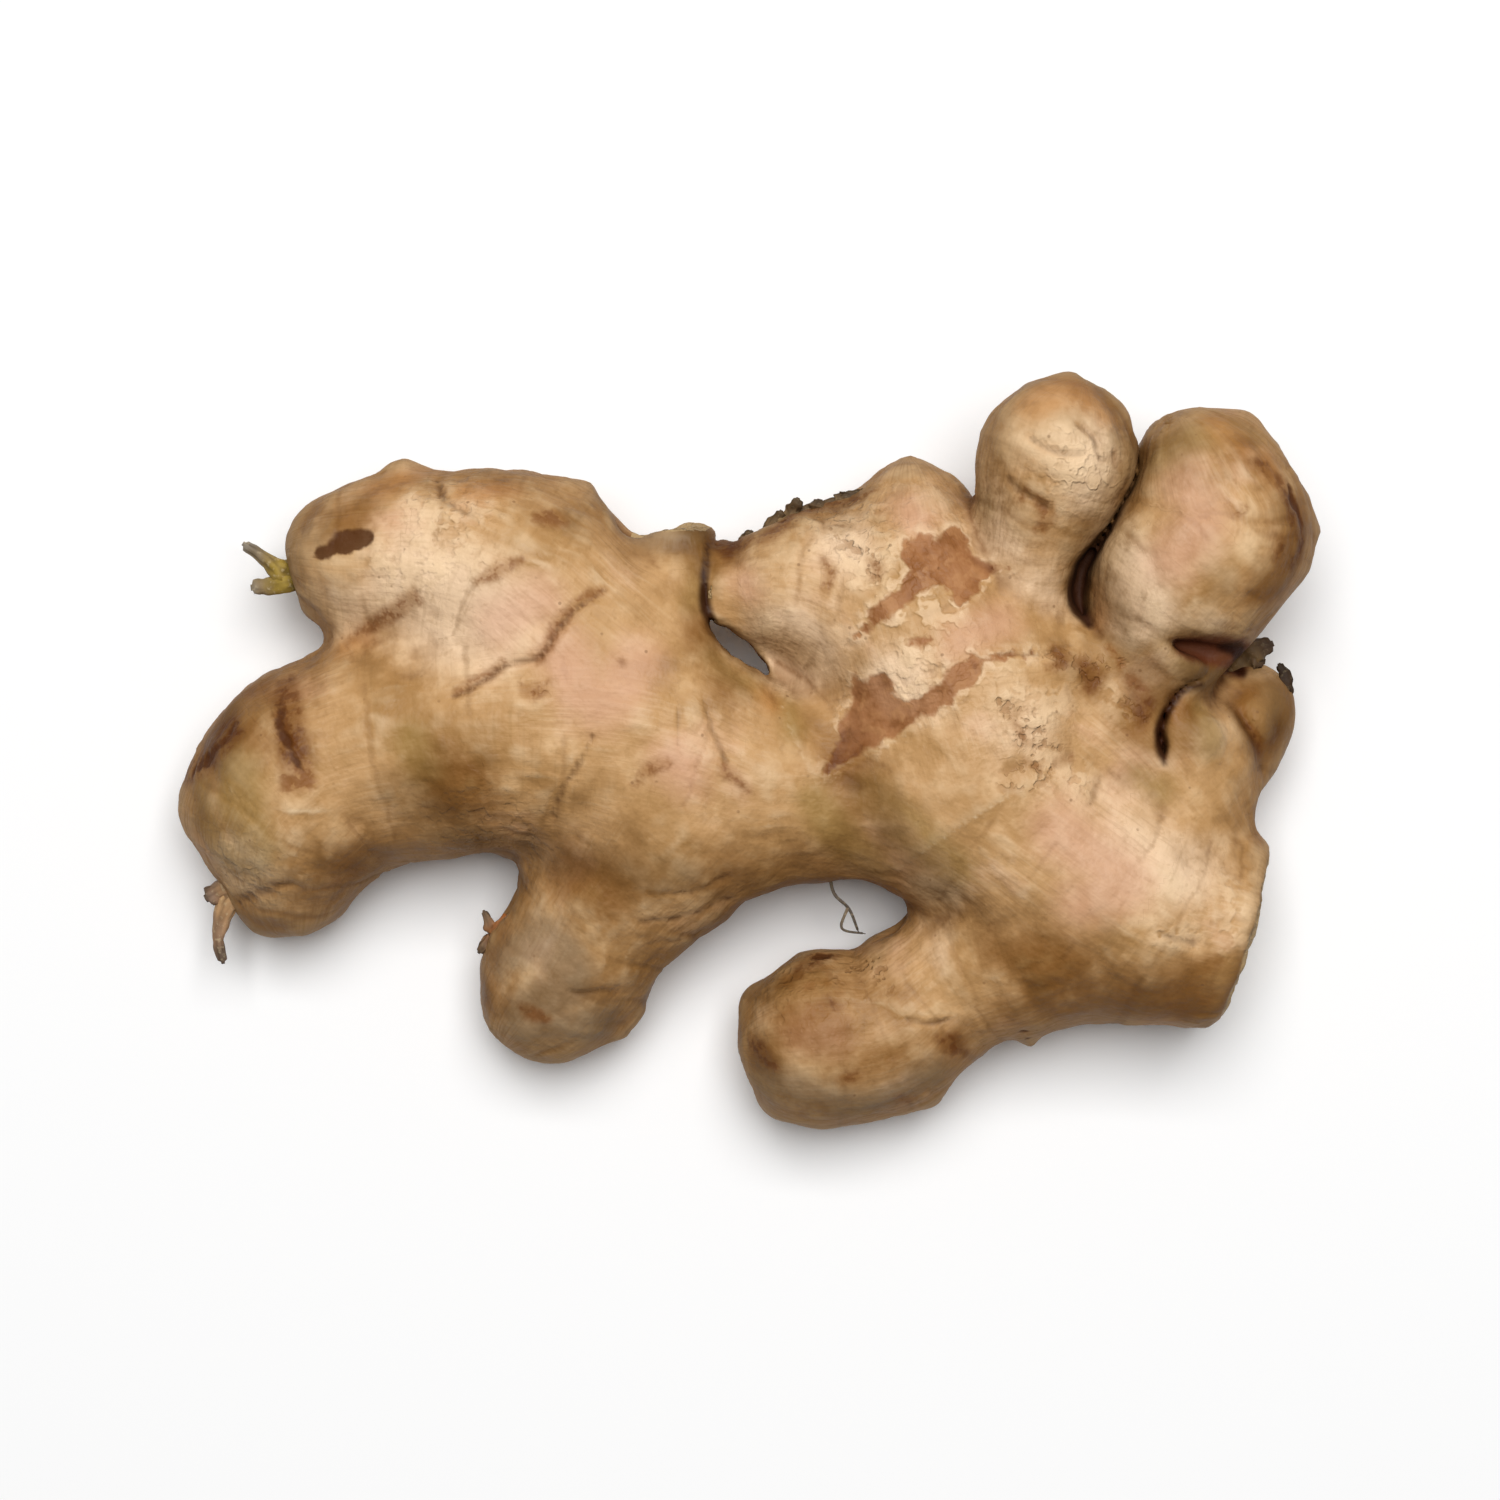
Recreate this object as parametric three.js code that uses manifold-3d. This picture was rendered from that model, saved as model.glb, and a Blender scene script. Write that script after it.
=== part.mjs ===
// A hand of fresh ginger: one branched rhizome lying on a table, with the dried roots and dry scale
// leaves that still cling to it. Millimetres, +Z up, the table is z = 0, the long way is X.
import * as THREE from "three";
import { mergeVertices } from "three/addons/utils/BufferGeometryUtils.js";
import Module from "manifold-3d";

const wasm = await Module();
wasm.setup();

// Each finger is a row of round sections [x, y, z, radius] from its root to its tip. "squash" is its
// height over its width, "blend" the width of the fillet where it grows out of the earlier ones.
const fingers = [
  { name: "left_body", blend: 7, squash: 0.92, sections: [
    [-47, 2, 15, 15], [-33, 3.5, 16.5, 17.5], [-15.5, 2.5, 16.6, 18.5], [-1.5, -2.5, 17, 15.5],
    [11.5, -5, 17, 13]] },
  { name: "left_finger", blend: 7, squash: 0.92, sections: [
    [-44.5, 1.5, 15, 15], [-58, -1.5, 14.5, 15.7], [-64.5, -6, 14, 15.9], [-65.2, -15.5, 11.5, 11.4]] },
  { name: "upper_left_finger", blend: 6, squash: 0.95, sections: [
    [-21.5, 15, 17, 15.5], [-32.5, 24, 17.5, 15.5], [-44, 27, 17, 13], [-53.5, 27.5, 15.5, 12]] },
  { name: "upper_left_bud", blend: 2, squash: 1, sections: [[-49.5, 34, 17, 4], [-49.5, 38.5, 17, 3]] },
  { name: "shoulder_bud", blend: 2, squash: 1, sections: [[-26.5, 32, 18, 6], [-24, 35.5, 18, 3]] },
  { name: "left_stub", blend: 4, squash: 1, sections: [
    [-12, 8.5, 19, 9], [-10.5, 20, 20, 6.5], [-10, 30.5, 20, 5]],
    brokenAt: { point: [-10, 31.8], facing: [0, 1], rounding: 1.5 } },
  { name: "lower_left_finger", blend: 6, squash: 0.95, sections: [
    [-11.5, -10.5, 16.5, 15.5], [-20.5, -21.5, 13.5, 12.8], [-26.5, -31.5, 11, 12],
    [-28, -33.5, 10.5, 11.5]] },
  { name: "waist", blend: 5, squash: 0.95, sections: [
    [3, -5, 17.5, 13.5], [14.5, -4.5, 17.5, 12], [25.5, -6.5, 18, 13.5]] },
  { name: "right_body", blend: 6, squash: 0.95, sections: [
    [28, -5.5, 18, 14.5], [38.5, -11.5, 17, 17], [51.5, -20.5, 15.7, 17.2], [61.5, -25, 15, 15.2],
    [77.5, -28.5, 14.5, 13.5]],
    brokenAt: { point: [72.3, -21.4], facing: [0.96, -0.27], rounding: 3 } },
  { name: "upper_right_body", blend: 6, squash: 0.95, sections: [
    [31.5, -1.5, 17.5, 17], [27.5, 10, 16.4, 18.5], [23, 21.5, 18.5, 15.8], [22.5, 32.5, 18.5, 9]] },
  { name: "right_stub", blend: 3.5, squash: 1, sections: [
    [18.5, 19, 19.5, 12.5], [9, 22.8, 20, 11], [1.5, 22.5, 20, 7.8], [-4, 23, 20, 6]],
    brokenAt: { point: [-5, 24], facing: [-1, -0.1], rounding: 1.2 } },
  { name: "right_shoulder", blend: 6, squash: 0.95, sections: [
    [34, 10, 20, 15], [44, 10, 19, 13], [54, 3, 17.5, 12.5], [61.5, -5.5, 16, 11.5]] },
  { name: "top_ball", blend: 3.5, squash: 1, sections: [
    [40.5, 21, 22, 9], [41.5, 34, 25, 10], [43, 41, 27.5, 11.3]] },
  { name: "top_right_finger", blend: 3.5, squash: 0.97, sections: [
    [53, 7, 18, 9], [59.5, 17.5, 21, 10], [64, 27, 24, 13], [66, 30.5, 25, 13.5],
    [64, 35.5, 26, 12.5]] },
  { name: "knob_shoulder", blend: 5, squash: 1, sections: [[65, -1, 12.5, 7.5], [71.5, 6.3, 13, 6.4]] },
  { name: "small_knob", blend: 2.5, squash: 1, sections: [
    [60.5, -7, 14.5, 9], [65, -2, 15, 8.6], [66.8, 1.3, 16, 8.2]] },
  { name: "lower_right_finger", blend: 4, squash: 0.95, sections: [
    [40, -27, 15.5, 13.5], [28.5, -33, 13, 11.5], [19, -40.3, 11.7, 12.3], [11, -41.5, 11.5, 13]] },
];

// Outline of the slit between the two broken stubs, which press together above it.
const stubSlit = [
  [-5.6, 40], [-5.6, 30], [-6.4, 22], [-5.9, 17], [-4.6, 15], [-2.4, 13.2], [-0.4, 11.6],
  [1.6, 10.5], [3, 10.4], [1.7, 12.9], [0.4, 14.7], [-2, 16.4], [-4, 17.8], [-5.5, 19], [-5.7, 22],
  [-4.9, 30], [-4.9, 40],
];

const table = 0;                // fingers that would reach lower are pressed flat at this height
const skinGap = 0.35;           // dried pieces stand this far off the skin
const cell = 3.55;              // spacing of the surface net
const field = { low: [-88.8, -62.8, -5.325], cells: [51, 35, 16] };
const centring = [0.4, 1.1, 0]; // puts the middle of the outline over the origin

const skin = new THREE.MeshStandardMaterial({ color: 0xc79b69, roughness: 0.55, metalness: 0 });
const driedRoot = new THREE.MeshStandardMaterial({ color: 0x8f7b4e, roughness: 0.85, metalness: 0 });
const dryScale = new THREE.MeshStandardMaterial({ color: 0x5f5142, roughness: 0.9, metalness: 0 });

// Sections along a finger, six to each stretch between two given ones.
function sectionsAlong(finger) {
  const rows = finger.sections;
  const middle = rows.map(([x, y, z]) => new THREE.Vector3(x, y, z));
  const path = new THREE.CatmullRomCurve3(middle, false, "catmullrom", 0.5);
  const girth = new THREE.SplineCurve(rows.map((row, i) => new THREE.Vector2(i, row[3])));
  const steps = 6 * (rows.length - 1);
  return Array.from({ length: steps + 1 }, (_, i) => ({
    centre: path.getPoint(i / steps),
    radius: girth.getPoint(i / steps).y,
  }));
}

// Distance from a point to a chain of tapered lengths, negative inside.
function chainDistance(chain, squash, x, y, z) {
  let nearest = Infinity;
  for (let i = 0; i + 1 < chain.length; i++) {
    const a = chain[i];
    const b = chain[i + 1];
    const ux = b.centre.x - a.centre.x;
    const uy = b.centre.y - a.centre.y;
    const uz = b.centre.z - a.centre.z;
    const px = x - a.centre.x;
    const py = y - a.centre.y;
    const pz = z - a.centre.z;
    const length2 = Math.max(ux * ux + uy * uy + uz * uz, 1e-6);
    const t = THREE.MathUtils.clamp((px * ux + py * uy + pz * uz) / length2, 0, 1);
    const across = Math.hypot(px - t * ux, py - t * uy, (pz - t * uz) / squash);
    nearest = Math.min(nearest, across - THREE.MathUtils.lerp(a.radius, b.radius, t));
  }
  return nearest;
}

// Joins two distances with a fillet, or trims one by the other with a rounded edge.
function smoothJoin(a, b, width) {
  const t = THREE.MathUtils.clamp(0.5 + (0.5 * (a - b)) / width, 0, 1);
  return THREE.MathUtils.lerp(a, b, t) - width * t * (1 - t);
}
function smoothTrim(a, b, width) {
  return -smoothJoin(-a, -b, width);
}

const grown = fingers.map((finger) => ({ ...finger, chain: sectionsAlong(finger) }));

// The skin of the whole hand is where this is zero.
function handDistance(x, y, z) {
  let total = Infinity;
  for (const finger of grown) {
    let own = chainDistance(finger.chain, finger.squash, x, y, z);
    if (finger.brokenAt) {
      const { point, facing, rounding } = finger.brokenAt;
      const past = (x - point[0]) * facing[0] + (y - point[1]) * facing[1];
      own = smoothTrim(own, past, rounding);
    }
    total = total === Infinity ? own : smoothJoin(total, own, finger.blend);
  }
  return total;
}

// Moves a point straight on to the surface where the distance is "offset".
function settle(point, offset) {
  const step = 0.05;
  for (let pass = 0; pass < 2; pass++) {
    const [x, y, z] = point;
    const here = handDistance(x, y, z);
    const slope = [
      (handDistance(x + step, y, z) - here) / step,
      (handDistance(x, y + step, z) - here) / step,
      (handDistance(x, y, z + step) - here) / step,
    ];
    const size2 = Math.max(slope[0] ** 2 + slope[1] ** 2 + slope[2] ** 2, 0.2);
    const move = THREE.MathUtils.clamp((here - offset) / size2, -0.5, 0.5);
    point = point.map((value, i) => value - move * slope[i]);
  }
  return point;
}

// A net of four-sided cells over the skin: one point in every grid cell that the skin crosses.
function skinNet(offset) {
  const [nx, ny, nz] = field.cells;
  const at = (i, j, k) => (k * ny + j) * nx + i;
  const place = (i, axis) => field.low[axis] + i * cell;
  const values = new Float32Array(nx * ny * nz);
  for (let k = 0; k < nz; k++)
    for (let j = 0; j < ny; j++)
      for (let i = 0; i < nx; i++)
        values[at(i, j, k)] = handDistance(place(i, 0), place(j, 1), place(k, 2)) - offset;

  const corners = [[0, 0, 0], [1, 0, 0], [0, 1, 0], [1, 1, 0], [0, 0, 1], [1, 0, 1], [0, 1, 1], [1, 1, 1]];
  const edges = [
    [0, 1], [2, 3], [4, 5], [6, 7], [0, 2], [1, 3], [4, 6], [5, 7], [0, 4], [1, 5], [2, 6], [3, 7],
  ];
  const pointOf = new Map();
  const positions = [];
  for (let k = 0; k + 1 < nz; k++)
    for (let j = 0; j + 1 < ny; j++)
      for (let i = 0; i + 1 < nx; i++) {
        const crossing = new THREE.Vector3();
        let count = 0;
        for (const [a, b] of edges) {
          const [p, q] = [corners[a], corners[b]];
          const va = values[at(i + p[0], j + p[1], k + p[2])];
          const vb = values[at(i + q[0], j + q[1], k + q[2])];
          if (va < 0 === vb < 0) continue;
          const t = va / (va - vb);
          crossing.x += p[0] + t * (q[0] - p[0]);
          crossing.y += p[1] + t * (q[1] - p[1]);
          crossing.z += p[2] + t * (q[2] - p[2]);
          count++;
        }
        if (!count) continue;
        crossing.divideScalar(count);
        pointOf.set(at(i, j, k), positions.length / 3);
        const rough = [place(i + crossing.x, 0), place(j + crossing.y, 1), place(k + crossing.z, 2)];
        const [x, y, z] = settle(rough, offset);
        positions.push(x, y, Math.max(z, table));
      }

  const index = [];
  const addQuad = (a, b, c, d, flip) => {
    const ring = [a, b, c, d].map((key) => pointOf.get(key));
    const [p, q, r, s] = flip ? ring.reverse() : ring;
    index.push(p, q, r, p, r, s);
  };
  for (let k = 1; k + 1 < nz; k++)
    for (let j = 1; j + 1 < ny; j++)
      for (let i = 1; i + 1 < nx; i++) {
        const inside = values[at(i, j, k)] < 0;
        if (inside !== values[at(i + 1, j, k)] < 0)
          addQuad(at(i, j - 1, k - 1), at(i, j, k - 1), at(i, j, k), at(i, j - 1, k), !inside);
        if (inside !== values[at(i, j + 1, k)] < 0)
          addQuad(at(i - 1, j, k - 1), at(i - 1, j, k), at(i, j, k), at(i, j, k - 1), !inside);
        if (inside !== values[at(i, j, k + 1)] < 0)
          addQuad(at(i - 1, j - 1, k), at(i, j - 1, k), at(i, j, k), at(i - 1, j, k), !inside);
      }
  const net = new THREE.BufferGeometry();
  net.setAttribute("position", new THREE.Float32BufferAttribute(positions, 3));
  net.setIndex(index);
  return net;
}

function toSolid(geometry) {
  const bare = new THREE.BufferGeometry();
  const flat = geometry.index ? geometry.toNonIndexed() : geometry;
  bare.setAttribute("position", flat.getAttribute("position"));
  const welded = mergeVertices(bare, 1e-3);
  const mesh = new wasm.Mesh({
    numProp: 3,
    vertProperties: welded.attributes.position.array,
    triVerts: new Uint32Array(welded.index.array),
  });
  return new wasm.Manifold(mesh);
}

function toGeometry(solid) {
  const mesh = solid.getMesh();
  const points = [];
  for (let i = 0; i < mesh.numVert; i++) {
    points.push(...mesh.vertProperties.subarray(i * mesh.numProp, i * mesh.numProp + 3));
  }
  const geometry = new THREE.BufferGeometry();
  geometry.setAttribute("position", new THREE.Float32BufferAttribute(points, 3));
  geometry.setIndex(Array.from(mesh.triVerts));
  return geometry;
}

// A tapering length through the given [x, y, z, radius] rows; "flatten" makes it a strip.
function strand(rows, sides, flatten = 1) {
  const path = new THREE.CatmullRomCurve3(rows.map(([x, y, z]) => new THREE.Vector3(x, y, z)));
  const girth = new THREE.SplineCurve(rows.map((row, i) => new THREE.Vector2(i, row[3])));
  const rings = 4 * (rows.length - 1);
  const frames = path.computeFrenetFrames(rings, false);
  const points = [];
  const index = [];
  for (let i = 0; i <= rings; i++) {
    const centre = path.getPointAt(i / rings);
    const radius = girth.getPoint(i / rings).y;
    for (let s = 0; s < sides; s++) {
      const turn = (s / sides) * 2 * Math.PI;
      const spot = centre.clone()
        .addScaledVector(frames.normals[i], Math.cos(turn) * radius)
        .addScaledVector(frames.binormals[i], Math.sin(turn) * radius * flatten);
      points.push(spot.x, spot.y, spot.z);
    }
  }
  for (let i = 0; i < rings; i++)
    for (let s = 0; s < sides; s++) {
      const a = i * sides + s;
      const b = i * sides + ((s + 1) % sides);
      index.push(a, b, a + sides, b, b + sides, a + sides);
    }
  const last = rings * sides;
  for (let s = 1; s + 1 < sides; s++) {
    index.push(0, s + 1, s);
    index.push(last, last + s, last + s + 1);
  }
  const geometry = new THREE.BufferGeometry();
  geometry.setAttribute("position", new THREE.Float32BufferAttribute(points, 3));
  geometry.setIndex(index);
  return toSolid(geometry);
}

function slitCutter() {
  const outline = new THREE.Shape(stubSlit.map(([x, y]) => new THREE.Vector2(x, y)));
  const geometry = new THREE.ExtrudeGeometry(outline, { depth: 60, bevelEnabled: false });
  geometry.translate(0, 0, -10);
  return toSolid(geometry);
}

const aroundSkin = toSolid(skinNet(skinGap));

// A dried piece with whatever would lie inside the rhizome taken off, so that only its free end is left.
function looseOn(strands) {
  const joined = strands.slice(1).reduce((sum, next) => sum.add(next), strands[0]);
  const free = joined.subtract(aroundSkin).decompose();
  return free.reduce((largest, next) => (next.volume() > largest.volume() ? next : largest));
}

function makeRhizome() {
  return toSolid(skinNet(0)).subtract(slitCutter());
}

// The forked root at the end of the upper left finger: a thick base, a thin prong and a stub.
function makeUpperLeftRoot() {
  const base = strand([
    [-62, 25.6, 14.5, 2.1], [-66.5, 25.4, 15, 1.8], [-69.3, 27.4, 15.5, 1], [-72.6, 29.6, 16, 0.7],
  ], 10);
  const stub = strand([[-64, 24.6, 14.5, 1.6], [-68.5, 23.6, 14.5, 1.4], [-71.6, 23.2, 14.8, 0.9]], 8);
  return looseOn([base, stub]);
}

// The curled root at the tip of the left finger, with its hanging prong.
function makeLowerLeftRoot() {
  const lobe = strand([
    [-71, -18.3, 12, 1.9], [-75.4, -19.8, 12.5, 1.7], [-78.4, -21.4, 12.3, 1.3],
  ], 10, 0.7);
  const prong = strand([
    [-72.5, -19.6, 12, 1.6], [-75.2, -22.4, 12.3, 1.4], [-76.6, -26.6, 12, 0.95], [-76, -30.8, 11, 0.6],
  ], 10, 0.7);
  return looseOn([lobe, prong]);
}

// The torn shred on the outer side of the lower left finger: one patch with two blades.
function makeLowerFingerShred() {
  const patch = strand([[-34.4, -24, 14, 1], [-35.8, -26.5, 14, 1.4], [-35.6, -29.6, 13.5, 0.8]], 8, 0.5);
  const lower = strand([[-35.2, -26, 14, 1.2], [-37.3, -27.2, 14, 1], [-39.1, -29.2, 13.5, 0.4]], 8, 0.5);
  const upper = strand([[-35.6, -27, 14, 1.1], [-37.2, -25.2, 14.2, 0.8], [-38.3, -23, 14.4, 0.3]], 8, 0.5);
  return looseOn([patch, lower, upper]);
}

// The hair-thin root that hangs from the waist between the two lower fingers.
function makeHairRoot() {
  const thread = strand([
    [11.2, -14, 15, 0.45], [11.8, -20, 15.5, 0.4], [14.2, -22.8, 15, 0.35], [15.6, -26.2, 14.2, 0.3],
  ], 6);
  const fork = strand([[14, -22.6, 15, 0.35], [13.2, -25.6, 14.5, 0.3], [16.6, -26.4, 14, 0.25]], 6);
  return looseOn([thread, fork]);
}

// The ragged edge of the scale leaf left on the upper shoulder.
function makeShoulderScale() {
  const rim = strand([
    [0, 29, 20.5, 0.7], [2.4, 30.8, 20.8, 1], [4.4, 33, 21, 1], [7.2, 34.8, 21, 1], [10.6, 35.5, 21, 0.9],
    [14, 36.7, 21, 0.9], [16.8, 37.4, 21, 0.6],
  ], 8, 0.6);
  const teeth = [
    [[2.2, 29.8, 21, 1.2], [3.4, 31.8, 21.4, 1.3], [4.5, 34, 21.5, 0.6]],
    [[4.6, 31.4, 21, 1.1], [6, 34, 21.4, 1.1], [6.8, 35.8, 21.6, 0.5]],
    [[9, 32.4, 21, 1.2], [9.6, 34.6, 21.2, 1.2], [10, 36.4, 21.3, 0.6]],
    [[12.6, 33.8, 21, 1.1], [13.3, 36, 21.2, 1.1], [13.6, 37.6, 21.3, 0.6]],
  ];
  return looseOn([rim, ...teeth.map((rows) => strand(rows, 8, 0.5))]);
}

// The flap of dead scale standing up behind the small knob, and the black curl beside it.
function makeRightFlap() {
  const upper = strand([[69.8, 12.2, 15.5, 1.3], [72.2, 14.2, 15.9, 1.6], [74.9, 15.3, 16, 0.9]], 8, 0.4);
  const lower = strand([[69.5, 10.5, 15.5, 1.4], [71.5, 12.8, 15.8, 1.5], [73.8, 12.6, 15.8, 0.8]], 8, 0.4);
  return looseOn([upper, lower]);
}
function makeRightCurl() {
  const curl = strand([
    [74.2, 6.2, 15, 1.3], [76.4, 8, 15.3, 1.2], [76.7, 10.4, 15.6, 0.9], [75.7, 12.4, 15.8, 0.5],
  ], 8, 0.6);
  return looseOn([curl]);
}

function addPiece(group, name, solid, material) {
  const geometry = toGeometry(solid);
  geometry.translate(...centring);
  geometry.computeVertexNormals();
  const mesh = new THREE.Mesh(geometry, material);
  mesh.name = name;
  group.add(mesh);
}

const root = new THREE.Group();
root.name = "ginger_root";
addPiece(root, "ginger_rhizome", makeRhizome(), skin);
addPiece(root, "dried_root_upper_left", makeUpperLeftRoot(), driedRoot);
addPiece(root, "dried_root_lower_left", makeLowerLeftRoot(), driedRoot);
addPiece(root, "hair_root", makeHairRoot(), driedRoot);
addPiece(root, "shred_lower_finger", makeLowerFingerShred(), dryScale);
addPiece(root, "scale_shoulder", makeShoulderScale(), dryScale);
addPiece(root, "scale_right_flap", makeRightFlap(), dryScale);
addPiece(root, "scale_right_curl", makeRightCurl(), dryScale);

export default root;
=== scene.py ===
import math
import bpy
import numpy as np
import openvdb
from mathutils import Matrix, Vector


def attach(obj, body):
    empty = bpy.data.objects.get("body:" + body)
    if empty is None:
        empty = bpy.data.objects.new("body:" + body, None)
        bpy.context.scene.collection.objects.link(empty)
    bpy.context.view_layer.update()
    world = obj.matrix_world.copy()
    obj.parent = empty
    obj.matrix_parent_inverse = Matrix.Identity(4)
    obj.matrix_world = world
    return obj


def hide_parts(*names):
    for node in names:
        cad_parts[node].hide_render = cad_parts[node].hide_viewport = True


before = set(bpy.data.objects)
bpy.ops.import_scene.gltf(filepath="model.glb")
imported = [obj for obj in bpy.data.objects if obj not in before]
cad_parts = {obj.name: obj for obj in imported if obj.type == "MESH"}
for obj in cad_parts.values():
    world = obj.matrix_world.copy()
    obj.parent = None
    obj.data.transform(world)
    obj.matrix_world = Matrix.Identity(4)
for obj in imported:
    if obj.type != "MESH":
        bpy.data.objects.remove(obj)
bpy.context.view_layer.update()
print("frame loaded")

mm = 0.001        # metres in a millimetre
farAway = 1e9     # further off than anything here, for a nearest distance not yet found
noiseSpread = (0.35, 0.65)    # a noise texture keeps mostly between these


def toLinear(hexColour):
    parts = [int(hexColour[i:i + 2], 16) / 255 for i in (1, 3, 5)]
    return [p / 12.92 if p <= 0.04045 else ((p + 0.055) / 1.055) ** 2.4 for p in parts] + [1.0]


def smooth(low, high, value):
    t = np.clip((value - low) / (high - low), 0, 1)
    return t * t * (3 - 2 * t)


# gradient noise, one value per point, mostly inside -1..1, features about one unit apart
def softNoise(points, seed):
    cell = np.floor(points).astype(np.int64)
    part = points - cell
    ease = part ** 3 * (part * (part * 6 - 15) + 10)
    total = np.zeros(len(points))
    for corner in np.ndindex(2, 2, 2):
        at = cell + corner
        key = (at[:, 0] * 73856093) ^ (at[:, 1] * 19349663) ^ (at[:, 2] * 83492791) ^ (seed * 9176263)
        key = ((key ^ (key >> 13)) * 1274126177) & 0xffffffff
        key = key ^ (key >> 15)
        turn = (key & 0xffff) * (2 * math.pi / 65536)
        lift = ((key >> 16) & 0xffff) / 32768 - 1
        flat = np.sqrt(np.maximum(1 - lift ** 2, 0))
        away = part - corner
        slope = away[:, 0] * flat * np.cos(turn) + away[:, 1] * flat * np.sin(turn) + away[:, 2] * lift
        weight = np.prod(np.where(np.array(corner) == 1, ease, 1 - ease), axis=1)
        total += weight * slope
    return total * 1.7


def layeredNoise(points, seed, layers=3):
    return sum(softNoise(points * 2 ** i, seed + i * 31) / 2 ** i for i in range(layers))


# smooth curve through rows of numbers, every column together
def throughRows(rows, steps):
    rows = np.array(rows, float)
    padded = np.vstack([2 * rows[0] - rows[1], rows, 2 * rows[-1] - rows[-2]])
    curve = []
    for i in range(1, len(rows)):
        a, b, c, d = padded[i - 1:i + 3]
        for t in np.arange(steps) / steps:
            curve.append(0.5 * (2 * b + (c - a) * t + (2 * a - 5 * b + 4 * c - d) * t ** 2
                                + (3 * b - a - 3 * c + d) * t ** 3))
    return np.array(curve + [rows[-1]])


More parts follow.
